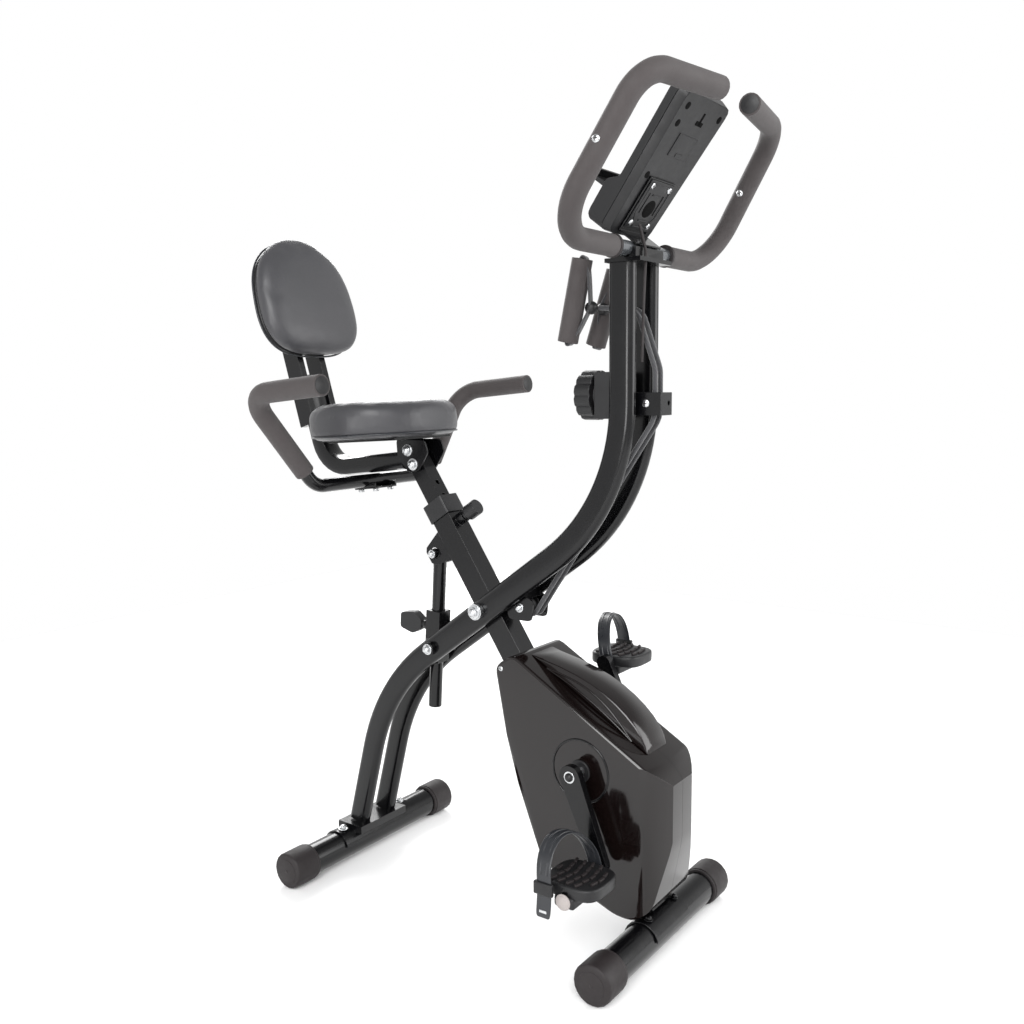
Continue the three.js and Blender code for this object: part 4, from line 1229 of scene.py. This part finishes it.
def rim_line(outline: Outline, frame: Matrix, lift: float, share: float = 0.985) -> list[Vector]:
    """Draws the closed line just inside an outline, where a seam or piping lies.

    Args:
        outline: Gives the outline's (x, y) in mm for an angle.
        frame: The outline's local frame.
        lift: How high the line lies in that frame, in mm.
        share: Its size as a share of the outline's.

    Returns:
        The line's points, the last on the first.
    """
    steps = 96
    line = []
    for k in range(steps + 1):
        x, y = outline(math.tau * k / steps)
        line.append(frame @ Vector((x * share * MM, y * share * MM, lift * MM)))
    return line


def outline_plate(
    name: str, outline: Outline, share: float, low: float, high: float, frame: Matrix
) -> bpy.types.Object:
    """Makes the blank of a plate with an outline, to be softened.

    Args:
        name: The plate's name.
        outline: Gives the outline's (x, y) in mm for an angle.
        share: The plate's size as a share of the outline's.
        low: Where its lower face is in the frame, in mm.
        high: Where its upper face is, in mm.
        frame: Its local frame.

    Returns:
        The blank.
    """
    focus_none()
    bpy.ops.mesh.primitive_circle_add(vertices=72, radius=1, fill_type="NGON")
    plate = named(name)
    for vertex in plate.data.vertices:
        x, y = outline(math.atan2(vertex.co.y, vertex.co.x))
        vertex.co = (x * share * MM, y * share * MM, low * MM)
    bpy.ops.object.mode_set(mode="EDIT")
    bpy.ops.mesh.select_all(action="SELECT")
    bpy.ops.mesh.extrude_region_move(TRANSFORM_OT_translate={"value": (0, 0, (high - low) * MM)})
    bpy.ops.mesh.select_all(action="SELECT")
    bpy.ops.mesh.normals_make_consistent(inside=False)
    bpy.ops.object.mode_set(mode="OBJECT")
    plate.matrix_world = frame
    return settle(plate)


@dataclass
class Backrest:
    """The backrest: a moulded shell, a piped rim and a padded face.

    Attributes:
        lean: Radians that it leans back.
        half_width: Half of its width.
        half_height: Half of its height.
        thickness: Of the pad.
        shell: Thickness of the shell.
        wrap: How far from the shell's back the pad starts.
        foot_x: Where the line of its back meets the height of the posts' foot.
        foot_drop: That height, below its middle.
        off_line: How far its back stands in front of that line.
        z: Height of its middle.
    """

    lean: float = 0.297
    half_width: float = 110
    half_height: float = 106
    thickness: float = 43
    shell: float = 9
    wrap: float = 4.5
    foot_x: float = -99
    foot_drop: float = 210
    off_line: float = 17
    z: float = 981

    def frame(self) -> Matrix:
        """Returns the frame with X across the bike, Y up the back and Z out of the pad."""
        back = self.foot_drop * math.tan(self.lean) - self.off_line / math.cos(self.lean)
        centre = at(self.foot_x - back, 0, self.z)
        axes = Matrix(((0, 0, 1, 0), (1, 0, 0, 0), (0, 1, 0, 0), (0, 0, 0, 1)))
        return Matrix.Translation(centre) @ Matrix.Rotation(-self.lean, 4, "Y") @ axes

    def outline(self, angle: float) -> tuple[float, float]:
        """Gives the outline at an angle: round-topped, a little wider below."""
        power = 2.65 - 0.4 * math.sin(angle)
        x, y = squircle(angle, self.half_width, self.half_height, power)
        rise = y / self.half_height
        return x * (0.95 - 0.1 * rise - 0.06 * max(0.0, rise) ** 2), y

    def build(self) -> None:
        """Builds the shell, the pad and the piping between them."""
        frame = self.frame()
        shell = outline_plate("back_shell", self.outline, 0.955, 0.3, self.shell, frame)
        fit(soften(shell, 3.5, 4, 50), MOULDED, "seat")
        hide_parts("backrest_shell")
        lift = Matrix.Translation((0, 0, self.wrap * MM))
        Cushion(
            "back_pad",
            frame @ lift,
            self.outline,
            self.thickness,
            rim=19,
            foot=5,
            crown=6,
            body="seat",
            replaces="backrest_cushion",
        ).build()
        piping = sweep("back_piping", rim_line(self.outline, frame, self.wrap + 1.2), 1.7)
        fit(piping, VINYL, "seat", "pad_cover")


# ---- Pedals ------------------------------------------------------------------------------------


@dataclass
class Pedal:
    """A ribbed pedal with a slotted toe strap and a plug in its outer end.

    Attributes:
        label: Which side's pedal it is.
        side: -1 for the right of the bike, 1 for the left.
        length: Along the bike.
        width: Across the bike.
        height: Of its body.
        strap_width: Of the toe strap.
        strap_line: The strap's middle line from its inner end over the toe, in the pedal's frame.
    """

    label: str
    side: int
    length: float = 88
    width: float = 82
    height: float = 24
    strap_width: float = 24
    strap_line: tuple[tuple[float, float, float], ...] = (
        (-2, -43, -6),
        (-4, -45, 8),
        (-10, -42, 30),
        (-20, -26, 54),
        (-28, 0, 66),
        (-31, 26, 62),
        (-30, 45, 44),
        (-27, 52, 20),
        (-25, 52, 0),
        (-25, 54, -22),
        (-26, 55, -40),
    )

    def build(self) -> None:
        """Builds body, tread, strap and plug in the CAD pedal's place."""
        body = f"{self.label}_pedal"
        low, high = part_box(f"pedal_{self.label}")
        level = low.z + self.height / 2 * MM
        centre = Vector(((low.x + high.x) / 2, (low.y + high.y) / 2, level))
        frame = Matrix.Translation(centre) @ Matrix.Diagonal((1, self.side, 1, 1))
        half_x, half_y, half_z = self.length / 2, self.width / 2, self.height / 2
        name = f"pedal_body_{self.label}"
        base = outline_plate(
            name, lambda a: squircle(a, half_x, half_y, 3.4), 1.0, -half_z + 2, half_z - 4, frame
        )
        fit(soften(base, 3.5, 4, 50), MOULDED, body)
        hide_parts(f"pedal_{self.label}")
        fit(self.tread(frame), RUBBER, body)
        box = slab(
            f"pedal_spindle_box_{self.label}",
            frame,
            (-16, -half_y + 4, -half_z - 11),
            (16, half_y + 3, -half_z + 6),
        )
        fit(soften(box, 4, 3), MOULDED, body)
        out = Vector((0, self.side, 0))
        end = frame @ Vector((0, (half_y + 2.6) * MM, (-half_z - 1.5) * MM))
        rim = soften(disc("rim", end, out, 11.5, 2.4), 0.8)
        cap = dome("cap", end + out * 2 * MM, out, 9.6, 2.2)
        fit(merge(f"pedal_end_cap_{self.label}", [rim, cap]), PLUG_NYLON, body)
        self.strap(frame, body)

    def tread(self, frame: Matrix) -> bpy.types.Object:
        """Builds the raised ribs in rows that bow towards the toe.

        Args:
            frame: The pedal's frame.

        Returns:
            The ribs as one piece.
        """
        ribs = []
        top = self.height / 2 - 4.5
        for row in range(6):
            for column in range(-2, 3):
                x = -34 + row * 13.5 - abs(column) * 2.4
                y = column * 15
                if abs(x) > 36 or math.hypot(x / 42, y / 39) > 0.98:
                    continue
                turn = Matrix.Rotation(0.16 * column, 4, "Z")
                local = frame @ Matrix.Translation((x * MM, y * MM, 0)) @ turn
                ribs.append(soften(slab("rib", local, (-2, -6, top), (2, 6, top + 4)), 0.8))
        return merge(f"pedal_tread_{self.label}", ribs)

    def strap(self, frame: Matrix, body: str) -> None:
        """Builds the strap over the toe, its two ridges and its hanging tail with a slot.

        Args:
            frame: The pedal's frame.
            body: The CAD body that the pedal rides on.
        """
        route = [frame @ Vector((x * MM, y * MM, z * MM)) for x, y, z in self.strap_line]
        fit(ribbon(f"toe_strap_{self.label}", route, self.strap_width, 2.4), VINYL, body)
        arch = self.strap_line[1:8]
        for shift in (-5, 5):
            ridge = [
                frame @ Vector(((x + shift) * MM, y * MM, (z + 0.6) * MM)) for x, y, z in arch
            ]
            name = f"toe_strap_ridge_{self.label}_{shift + 5}"
            fit(sweep(name, ridge, 1.6, smooth=True), VINYL, body)
        slot_frame = frame @ Matrix.Translation((-25.5 * MM, 55 * MM, -30 * MM))
        slot = slab(f"toe_strap_slot_{self.label}", slot_frame, (-6, -1, -2), (6, 1.2, 2))
        fit(soften(slot, 0.5), ZINC, body)
        buckle_frame = frame @ Matrix.Translation((-26 * MM, 53 * MM, 2 * MM))
        buckle = slab(
            f"toe_strap_buckle_{self.label}", buckle_frame, (-15, -3, -9), (15, 3.4, 9)
        )
        fit(soften(buckle, 1.6, 3), MOULDED, body)


def ribbon(
    name: str, route: Sequence[Vector], width: float, thickness: float
) -> bpy.types.Object:
    """Makes a flat band that follows a route, its width along X.

    Args:
        name: The band's name.
        route: Its middle line in the row frame.
        width: Its width, in mm.
        thickness: Its thickness, in mm.

    Returns:
        The band.
    """
    focus_none()
    bpy.ops.mesh.primitive_grid_add(x_subdivisions=4, y_subdivisions=len(route) - 1, size=1)
    band = named(name)
    for vertex in band.data.vertices:
        step = round((vertex.co.y + 0.5) * (len(route) - 1))
        vertex.co = route[step] + Vector((vertex.co.x * width * MM, 0, 0))
    modify(band, "SOLIDIFY", thickness=thickness * MM, offset=0)
    modify(band, "SUBSURF", levels=3, render_levels=3)
    bpy.ops.object.shade_smooth_by_angle(angle=ROUND_SHADING)
    return band


# ---- Housing, console, ropes and trim ----------------------------------------------------------


@dataclass
class HousingShell:
    """The drive's two gloss halves, recut with well-rounded creases.

    Attributes:
        nodes: The CAD nodes by name.
        crease: How far each crease is rounded.
        crease_angle: Edges sharper than this many degrees are creases.
        wall: Thickness of the wall.
        bore_reach: Holes are looked for within this distance of the middle.
        side_weight: How much more the way across counts in telling the skin from the inner wall.
    """

    nodes: dict[str, bpy.types.Object]
    crease: float = 7
    crease_angle: float = 18
    wall: float = 2
    bore_reach: float = 70
    side_weight: float = 1.6

    def build(self) -> None:
        """Builds both halves."""
        middle_x, _, middle_z = middle("housing_right")
        for label, _ in SIDES:
            shell = self.copy(self.nodes[f"housing_{label}"], f"housing_shell_{label}")
            self.keep_skin(shell, Vector((middle_x, 0, middle_z)))
            modify(
                shell,
                "BEVEL",
                width=self.crease * MM,
                segments=4,
                limit_method="ANGLE",
                angle_limit=math.radians(self.crease_angle),
            )
            modify(shell, "SOLIDIFY", thickness=self.wall * MM, offset=-1)
            focus(shell)
            bpy.ops.object.shade_smooth_by_angle(angle=FLAT_SHADING)
            fit(shell, SHELL, "front_frame")
            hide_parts(f"housing_{label}")

    def copy(self, node: bpy.types.Object, name: str) -> bpy.types.Object:
        """Copies a CAD node and joins its loose triangles.

        Args:
            node: The CAD node.
            name: The copy's name.

        Returns:
            The copy.
        """
        focus(node)
        bpy.ops.object.duplicate()
        shell = named(name)
        shell.parent = None
        shell.modifiers.clear()
        shell.constraints.clear()
        if shell.data.has_custom_normals:
            bpy.ops.mesh.customdata_custom_splitnormals_clear()
        bpy.ops.object.mode_set(mode="EDIT")
        bpy.ops.mesh.select_all(action="SELECT")
        bpy.ops.mesh.remove_doubles(threshold=CAD_WELD)
        bpy.ops.mesh.select_all(action="DESELECT")
        bpy.ops.mesh.select_mode(type="FACE")
        bpy.ops.object.mode_set(mode="OBJECT")
        return shell

    def keep_skin(self, shell: bpy.types.Object, heart: Vector) -> None:
        """Deletes the inner wall, the rim and the holes' walls, and joins flat faces.

        Args:
            shell: The copy of a half.
            heart: The middle of the whole housing.
        """
        for face in shell.data.polygons:
            out = face.center - heart
            across = Vector((out.x, out.y * self.side_weight, out.z))
            near = math.hypot(out.x, out.z) < self.bore_reach * MM
            in_hole = abs(face.normal.y) < 0.5 and near
            face.select = face.normal.dot(across) <= 0 or in_hole
        bpy.ops.object.mode_set(mode="EDIT")
        bpy.ops.mesh.delete(type="FACE")
        bpy.ops.mesh.select_all(action="SELECT")
        bpy.ops.mesh.dissolve_limited(angle_limit=math.radians(3))
        bpy.ops.object.mode_set(mode="OBJECT")


@dataclass
class HousingTrim:
    """Rings, beads and screws on the drive's housing.

    Attributes:
        crank: X and Z of the cranks' axis.
        ring_radius: Of the pressed ring round it.
        half_width: From the middle plane to the housing's side.
        axle_end: From the middle plane to the end of the axle.
        screw: X, Y and Z of the shell's screw.
        fin_top: X and Z of the crease's upper end.
        fin_bottom: X and Z of its lower end.
        bead_start: How far down the crease the beads start.
        bead_length: Of the beads.
        bead_y: From the middle plane to the beads.
    """

    crank: tuple[float, float] = (489, 269)
    ring_radius: float = 47
    half_width: float = 65
    axle_end: float = 96
    screw: tuple[float, float, float] = (346, 64.6, 400)
    fin_top: tuple[float, float] = (368, 425)
    fin_bottom: tuple[float, float] = (606, 286)
    bead_start: float = 46
    bead_length: float = 170
    bead_y: float = 30.2

    def build(self) -> None:
        """Builds each side's pressed ring, axle cover, nut, screw and beads."""
        crank_x, crank_z = self.crank
        for label, side in SIDES:
            outward = Vector((0, side, 0))
            face = side * (self.half_width - 0.2)
            ring = []
            for k in range(73):
                angle = math.tau * k / 72
                x = crank_x + self.ring_radius * math.cos(angle)
                ring.append(at(x, face, crank_z + self.ring_radius * math.sin(angle)))
            fit(sweep(f"crank_ring_{label}", ring, 1.8), PAINT, "front_frame")
            foot = at(crank_x, side * (self.half_width - 0.4), crank_z)
            cover = disc(f"crank_cover_{label}", foot, outward, 17, 3.5)
            fit(soften(cover, 1.2, 3), MOULDED, "front_frame")
            tip = at(crank_x, side * self.axle_end, crank_z)
            fit(dome(f"crank_nut_{label}", tip, outward, 6.5, 5), MOULDED, "crank")
            x, y, z = self.screw
            Screw(f"housing_screw_{label}", at(x, side * y, z), outward, 4.2).build("front_frame")
            for i, lift in enumerate((4.0, 12.0)):
                fit(self.bead(label, side, lift, i), SHELL, "front_frame")

    def bead(self, label: str, side: int, lift: float, index: int) -> bpy.types.Object:
        """Builds a ridge that bows out from the crease along the fin's foot.

        Args:
            label: Which side's bead it is.
            side: -1 for the right of the bike, 1 for the left.
            lift: How far it bows, in mm.
            index: Which of the side's beads it is.

        Returns:
            The bead.
        """
        top, bottom = Vector(self.fin_top), Vector(self.fin_bottom)
        along = (bottom - top).normalized()
        normal = Vector((-along.y, along.x))
        steps = 12
        route = []
        for k in range(steps + 1):
            t = k / steps
            bow = lift * math.sin(math.pi * t) * 1.6 + 0.6
            point = top + along * (self.bead_start + t * self.bead_length) + normal * bow
            route.append(at(point.x, side * (self.bead_y - 0.2 * index), point.y))
        return sweep(f"fin_bead_{label}_{index}", route, 1.5, smooth=True)


@dataclass
class ConsoleBack:
    """What the console's back carries: mounting plate, battery door, keyhole and screws.

    Attributes:
        centre: X, Y and Z of the middle of the back.
        tilt: Radians that the console leans.
    """

    centre: tuple[float, float, float] = (589, 0, 1116)
    tilt: float = 0.65

    def frame(self) -> Matrix:
        """Returns the console's frame: X away from the rider, Z up the panel."""
        return Matrix.Translation(at(*self.centre)) @ Matrix.Rotation(self.tilt, 4, "Y")

    def build(self) -> None:
        """Builds the plates, the openings drawn as dark sheets of painted shade, and the screws."""
        frame = self.frame()
        door = slab("battery_door", frame, (-0.2, -26, 18), (1.1, 26, 50))
        fit(soften(door, 0.5), MOULDED, "rear_frame")
        latch = slab("battery_latch", frame, (0.6, -9, 19), (1.9, 9, 25))
        fit(soften(latch, 0.5), MOULDED, "rear_frame")
        plate = slab("console_plate", frame, (3.2, -32, -88), (5.4, 32, -16))
        fit(soften(plate, 0.9), MOULDED, "rear_frame")
        self.ribs(frame)
        away = frame.to_3x3() @ Vector((1, 0, 0))
        # A dark disc on the plate stands for the cable hole: painted shade, the hole is not cut.
        hole = disc("console_cable_hole", self.spot(5.3, 0, -56), away, 13, 0.5)
        fit(soften(hole, 0.1), SHADOW, "rear_frame")
        for i, (y, z) in enumerate([(-24, -24), (24, -24), (-24, -80), (24, -80)]):
            Screw(f"plate_screw_{i}", self.spot(5.4, y, z), away, 4.6).build("rear_frame")
        # Dark discs stand for the screw wells: painted shade.
        for i, (y, z) in enumerate([(-46, 84), (48, 84), (-46, 60), (-44, -14)]):
            well = disc(f"screw_well_{i}", self.spot(-0.1, y, z), away, 5, 0.5)
            fit(soften(well, 0.1), SHADOW, "rear_frame")
        # Dark slabs stand for the keyhole: painted shade.
        keyhole = [
            slab("slot", frame, (0.1, 3, 66), (0.5, 7, 84)),
            slab("slot", frame, (0.1, -4, 66), (0.5, 14, 72)),
        ]
        fit(merge("console_keyhole", keyhole), SHADOW, "rear_frame")

    def spot(self, x: float, y: float, z: float) -> Vector:
        """Returns a point of the console's frame, given in mm."""
        return self.frame() @ Vector((x * MM, y * MM, z * MM))

    def ribs(self, frame: Matrix) -> None:
        """Builds the raised border of the mounting plate and the ribs round its cable hole.

        Args:
            frame: The console's frame.
        """
        border = [(-28, -20), (28, -20), (28, -66), (16, -84), (-16, -84), (-28, -66), (-28, -20)]
        pieces = []
        for start, end in zip(border, border[1:]):
            pieces.append(sweep("border", [self.spot(5.5, *start), self.spot(5.5, *end)], 0.8))
        for y in (-19, 19):
            pieces.append(soften(slab("rib", frame, (5.2, y - 1.2, -64), (6.6, y + 1.2, -34)), 0.4))
        for z in (-36, -74):
            pieces.append(soften(slab("rib", frame, (5.2, -11, z - 1.2), (6.6, 11, z + 1.2)), 0.4))
        fit(merge("console_plate_ribs", pieces), MOULDED, "rear_frame")


@dataclass
class Ropes:
    """The two exercise ropes with their handles, and the two cables.

    Attributes:
        start: X and Z of the stops where the ropes leave the frame.
        rope_y: From the middle plane to each rope.
        rope_radius: Of a rope.
        cable_radius: Of a cable.
        rope_line: X, Z and bend radius along a rope.
        console_line: The console's cable: X, Y, Z and bend radius.
        tension_line: The same for the tension knob's cable.
    """

    start: tuple[float, float] = (478, 938)
    rope_y: float = 8
    rope_radius: float = 3.5
    cable_radius: float = 2
    rope_line: tuple[tuple[float, float, float], ...] = (
        (486, 938, 0),
        (546, 934, 24),
        (576, 850, 40),
        (576, 782, 40),
        (370, 476.2, 11.8),
        (328, 476.2, 0),
    )
    console_line: tuple[Corner, ...] = (
        (556, -19, 1046, 0),
        (566, -19, 1010, 20),
        (563, -19, 940, 60),
        (561, -19, 860, 0),
    )
    tension_line: tuple[Corner, ...] = (
        (508, 19, 780.7, 0),
        (508, 19, 740, 40),
        (486, 19, 690, 60),
        (440, 19, 640, 0),
    )

    def build(self) -> None:
        """Builds handles, ropes and cables."""
        self.handle("right", -28, (470, 1006), (445, 890))
        self.handle("left", 28, (493, 992), (458, 886))
        for label, side in SIDES:
            route = [(x, side * self.rope_y, z, bend) for x, z, bend in self.rope_line]
            rope = sweep(f"rope_{label}", fillet(route, 0.15), self.rope_radius)
            fit(rope, WEBBING, "rear_frame")
            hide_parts(f"exercise_rope_{label}")
        cable = sweep("console_lead", fillet(self.console_line), self.cable_radius)
        fit(cable, RUBBER, "rear_frame")
        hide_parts("console_cable")
        lead = sweep("tension_lead", fillet(self.tension_line), self.cable_radius)
        fit(lead, RUBBER, "rear_frame")
        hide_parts("tension_cable")

    def handle(
        self, label: str, y: float, top: tuple[float, float], bottom: tuple[float, float]
    ) -> None:
        """Builds a foam grip on a webbing loop that meets a ball at the rope.

        Args:
            label: Which side's handle it is.
            y: Its distance from the middle plane, in mm.
            top: X and Z of the grip's upper end.
            bottom: X and Z of the grip's lower end.
        """
        body = f"handle_{label}"
        upper, lower = at(top[0], y, top[1]), at(bottom[0], y, bottom[1])
        grip = sweep(f"pull_grip_{label}", [lower, upper], 15)
        soften(grip, 2.2, 3, 60)
        fit(grip, FOAM, body)
        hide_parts(f"rope_handle_{label}")
        axis = (upper - lower).normalized()
        # A dark rubber disc on each end of the grip stands for its open bore: painted shade.
        for end, way, word in ((upper, axis, "upper"), (lower, -axis, "lower")):
            bore = disc(f"pull_bore_{label}_{word}", end - way * 0.4 * MM, way, 9.5, 0.7)
            fit(soften(bore, 0.2), RUBBER, body)
        ball = at(self.start[0], y * 0.6, self.start[1])
        out = Vector((axis.z, 0, -axis.x))
        loop = [
            upper - axis * 6 * MM,
            upper + axis * 4 * MM,
            upper + axis * 7 * MM + out * 7 * MM,
            upper.lerp(ball, 0.45) + out * 6 * MM,
            ball.lerp(upper, 0.12),
            ball,
            ball.lerp(lower, 0.12),
            lower.lerp(ball, 0.45) + out * 5 * MM,
            lower - axis * 6 * MM + out * 6 * MM,
            lower - axis * 4 * MM,
            lower + axis * 6 * MM,
        ]
        strap = oval_section(3, 17, turned=True)
        webbing = sweep(f"pull_webbing_{label}", loop, section=strap, smooth=True)
        fit(webbing, WEBBING, body)
        focus_none()
        bpy.ops.mesh.primitive_uv_sphere_add(
            segments=32, ring_count=20, radius=9.5 * MM, location=ball
        )
        stop = settle(named(f"rope_stop_{label}"))
        bpy.ops.object.shade_smooth()
        fit(stop, MOULDED, body)


@dataclass
class Fasteners:
    """The bright bolts of both frames.

    Attributes:
        outer: From the middle plane to the outer side of an upright.
    """

    outer: float = 42.8

    def build(self) -> None:
        """Builds the bolts on the right of the bike and those on the stabilisers."""
        right = Vector((0, -1, 0))
        bolts = [
            ("main_pivot_cap", at(286, -self.outer - 9, 478), 8.4, "rear_frame"),
            ("strut_pivot_cap", at(188, -self.outer - 8, 404), 7.2, "sleeve"),
            ("strut_top_cap", at(176.5, -21.8, 556), 5.6, "rod"),
            ("pulley_cap", at(352, -22.2, 488), 6.0, "rear_frame"),
            ("seat_bolt_front", at(129, -22.4, 725), 8.0, "seat"),
            ("seat_bolt_rear", at(140, -22.4, 702), 8.0, "seat"),
        ]
        for name, centre, radius, body in bolts:
            CapBolt(name, centre, right, radius, body).build()
        up = Vector((0.05, 0, 1))
        for i, side in enumerate((-1, 1)):
            rear, front = at(4, side * 73, 58.5), at(590, side * 40, 58.5)
            CapBolt(f"rear_base_bolt_{i}", rear, up, 6.5, "rear_frame").build()
            CapBolt(f"front_base_bolt_{i}", front, up, 5, "front_frame", PAINT).build()
        Screw("rope_bracket_screw", at(566, -16.9, 803), right, 6).build("rear_frame")


@dataclass
class CapTrim:
    """The boss on the end of each stabiliser cap and the lip at its mouth.

    Attributes:
        depth: From a cap's end to its lip.
        lip_radius: Of the lip.
    """

    depth: float = 46
    lip_radius: float = 28.6

    def build(self) -> None:
        """Builds bosses and lips."""
        for base, body in (("rear", "rear_frame"), ("front", "front_frame")):
            for label, side in SIDES:
                node = f"{base}_end_cap_{label}"
                low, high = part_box(node)
                face = low.y if side < 0 else high.y
                place = middle(node)
                centre = Vector((place.x, face - side * 0.6 * MM, place.z))
                axis = Vector((0, side, 0))
                boss = soften(disc("boss", centre, axis, 20, 1.2), 0.6)
                dimple = dome("dimple", centre + axis * 1.1 * MM, axis, 3, 0.8)
                fit(merge(f"cap_boss_{base}_{label}", [boss, dimple]), RUBBER, body)
                mouth = Vector((centre.x, face - side * self.depth * MM, centre.z))
                collar = disc(f"cap_lip_{base}_{label}", mouth, -axis, self.lip_radius, 4)
                fit(soften(collar, 1.4, 3), RUBBER, body)


# ---- Stage -------------------------------------------------------------------------------------


@dataclass
class Studio:
    """A pale floor, soft lights and the camera.

    Attributes:
        eye: X, Y and Z of the camera, in drawing mm.
        yaw: Radians that it looks to the left of +Y.
        pitch: Radians that it looks down.
        roll: Radians that it is turned about its own axis.
        lens: Focal length, in mm on a 36 mm sensor.
        floor_size: Side of the floor, in metres.
    """

    eye: tuple[float, float, float] = (1246.1, -1282.0, 830.0)
    yaw: float = 0.6239
    pitch: float = 0.1242
    roll: float = -0.0087
    lens: float = 35.79
    floor_size: float = 4.6

    def build(self) -> None:
        """Builds the stage."""
        focus_none()
        bpy.ops.mesh.primitive_plane_add(size=self.floor_size, location=(0, 0, -0.0005))
        floor = named("studio_floor")
        floor.data.materials.append(self.floor_material())
        world = bpy.data.worlds.new("studio")
        world.use_nodes = True
        self.sky(world.node_tree)
        bpy.context.scene.world = world
        bpy.context.scene.view_settings.view_transform = "Standard"
        self.light("key", (1.6, -2.6, 2.6), 2.2, 108)
        self.light("fill", (3.0, 1.2, 1.6), 2.4, 75)
        self.light("rim", (-2.4, 1.8, 2.4), 1.8, 100)
        self.light("strip", (0.2, -3.2, 0.9), 1.0, 30)
        self.camera()

    def sky(self, tree: bpy.types.NodeTree) -> None:
        """Makes the room white round the horizon and grey overhead, so that the lights show.

        Args:
            tree: The world's node tree.
        """
        place = add_node(tree, "ShaderNodeTexCoord")
        split = add_node(tree, "ShaderNodeSeparateXYZ", {}, Vector=place.outputs["Generated"])
        fade = {"From Min": 0.36, "From Max": 0.6, "To Min": 1.0, "To Max": 0.5}
        height = add_node(tree, "ShaderNodeMapRange", fade, Value=split.outputs["Z"])
        tree.links.new(height.outputs["Result"], tree.nodes["Background"].inputs["Strength"])
        tree.nodes["Background"].inputs["Color"].default_value = linear("#ffffff")

    def floor_material(self) -> bpy.types.Material:
        """Returns the floor's plain matt paint."""
        made = bpy.data.materials.new("matt floor paint")
        made.use_nodes = True
        shader = made.node_tree.nodes["Principled BSDF"]
        shader.inputs["Base Color"].default_value = linear("#fafafa")
        shader.inputs["Roughness"].default_value = 0.85
        return made

    def light(
        self, name: str, place: tuple[float, float, float], size: float, power: float
    ) -> None:
        """Adds a soft square light that faces the bike's middle.

        Args:
            name: The light's name.
            place: Where it hangs, in metres.
            size: Its side, in metres.
            power: Its power, in watts.
        """
        data = bpy.data.lights.new(name, "AREA")
        data.size = size
        data.energy = power
        lamp = bpy.data.objects.new(name, data)
        lamp.location = place
        towards = Vector((0, 0, 0.6)) - Vector(place)
        lamp.rotation_euler = towards.to_track_quat("-Z", "Y").to_euler()
        bpy.context.scene.collection.objects.link(lamp)

    def camera(self) -> None:
        """Adds the camera."""
        sin_yaw, cos_yaw = math.sin(self.yaw), math.cos(self.yaw)
        sin_pitch, cos_pitch = math.sin(self.pitch), math.cos(self.pitch)
        ahead = Vector((-sin_yaw * cos_pitch, cos_yaw * cos_pitch, -sin_pitch))
        level = Vector((cos_yaw, sin_yaw, 0))
        raised = level.cross(ahead)
        right = level * math.cos(self.roll) + raised * math.sin(self.roll)
        up = right.cross(ahead)
        data = bpy.data.cameras.new("camera")
        data.lens = self.lens
        data.sensor_width = 36
        eye = bpy.data.objects.new("camera", data)
        turn = Matrix((right, up, -ahead)).transposed().to_4x4()
        eye.matrix_world = Matrix.Translation(at(*self.eye)) @ turn
        bpy.context.scene.collection.objects.link(eye)
        bpy.context.scene.camera = eye


def dress_cad(nodes: dict[str, bpy.types.Object]) -> None:
    """Dresses every CAD node that keeps its own shape.

    Args:
        nodes: The CAD nodes by name.
    """
    dresser = CadDresser(nodes)
    painted = [
        "rear_stabiliser_tube", "front_stabiliser_tube", "rear_saddle_bracket",
        "handlebar_clamp", "console_bracket", "rope_bracket", "lower_pulley_bracket",
        "strut_sleeve", "strut_rod", "main_frame_tube", "crank_arm_right", "crank_arm_left",
        "seat_post", "seat_bracket", "seat_frame_tube", "backrest_post_right",
        "backrest_post_left",
    ]
    moulded = [
        "console_back_shell", "console_button", "tablet_rest", "tension_knob_base",
        "rope_pulley", "strut_pin_knob", "post_collar", "post_pin_knob",
    ]
    caps = [f"{base}_end_cap_{label}" for base in ("rear", "front") for label, _ in SIDES]
    dresser.dress(PAINT, 0.8, painted)
    dresser.dress(MOULDED, 0.9, moulded)
    dresser.dress(SHELL, 2.2, ["housing_fin"])
    dresser.dress(MOULDED, 1.4, ["console_bezel"])
    dresser.dress(MOULDED, 2.2, ["tension_knob"])
    dresser.dress(RUBBER, 1.6, caps)
    dresser.dress(RUBBER, 0.3, ["drive_belt"])
    dresser.dress(ZINC, 0.5, ["main_pivot_bolt", "crank_axle", "flywheel_axle", "magnet_arm"])
    dresser.dress(IRON, 0.8, ["flywheel"])
    dresser.dress(GLASS, 0.2, ["console_screen"])


def main() -> None:
    """Builds the looks round the frame."""
    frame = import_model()
    PLACE.axis_x = middle("rear_stabiliser_tube").x
    dress_cad(frame["nodes"])
    Uprights().build()
    Handlebar().build()
    SideHandles().build()
    Seat().build()
    Backrest().build()
    for label, side in SIDES:
        Pedal(label, side).build()
    HousingShell(frame["nodes"]).build()
    HousingTrim().build()
    ConsoleBack().build()
    Ropes().build()
    Fasteners().build()
    CapTrim().build()
    Studio().build()


if __name__ == "__main__":
    logging.basicConfig(level=logging.INFO)
    main()
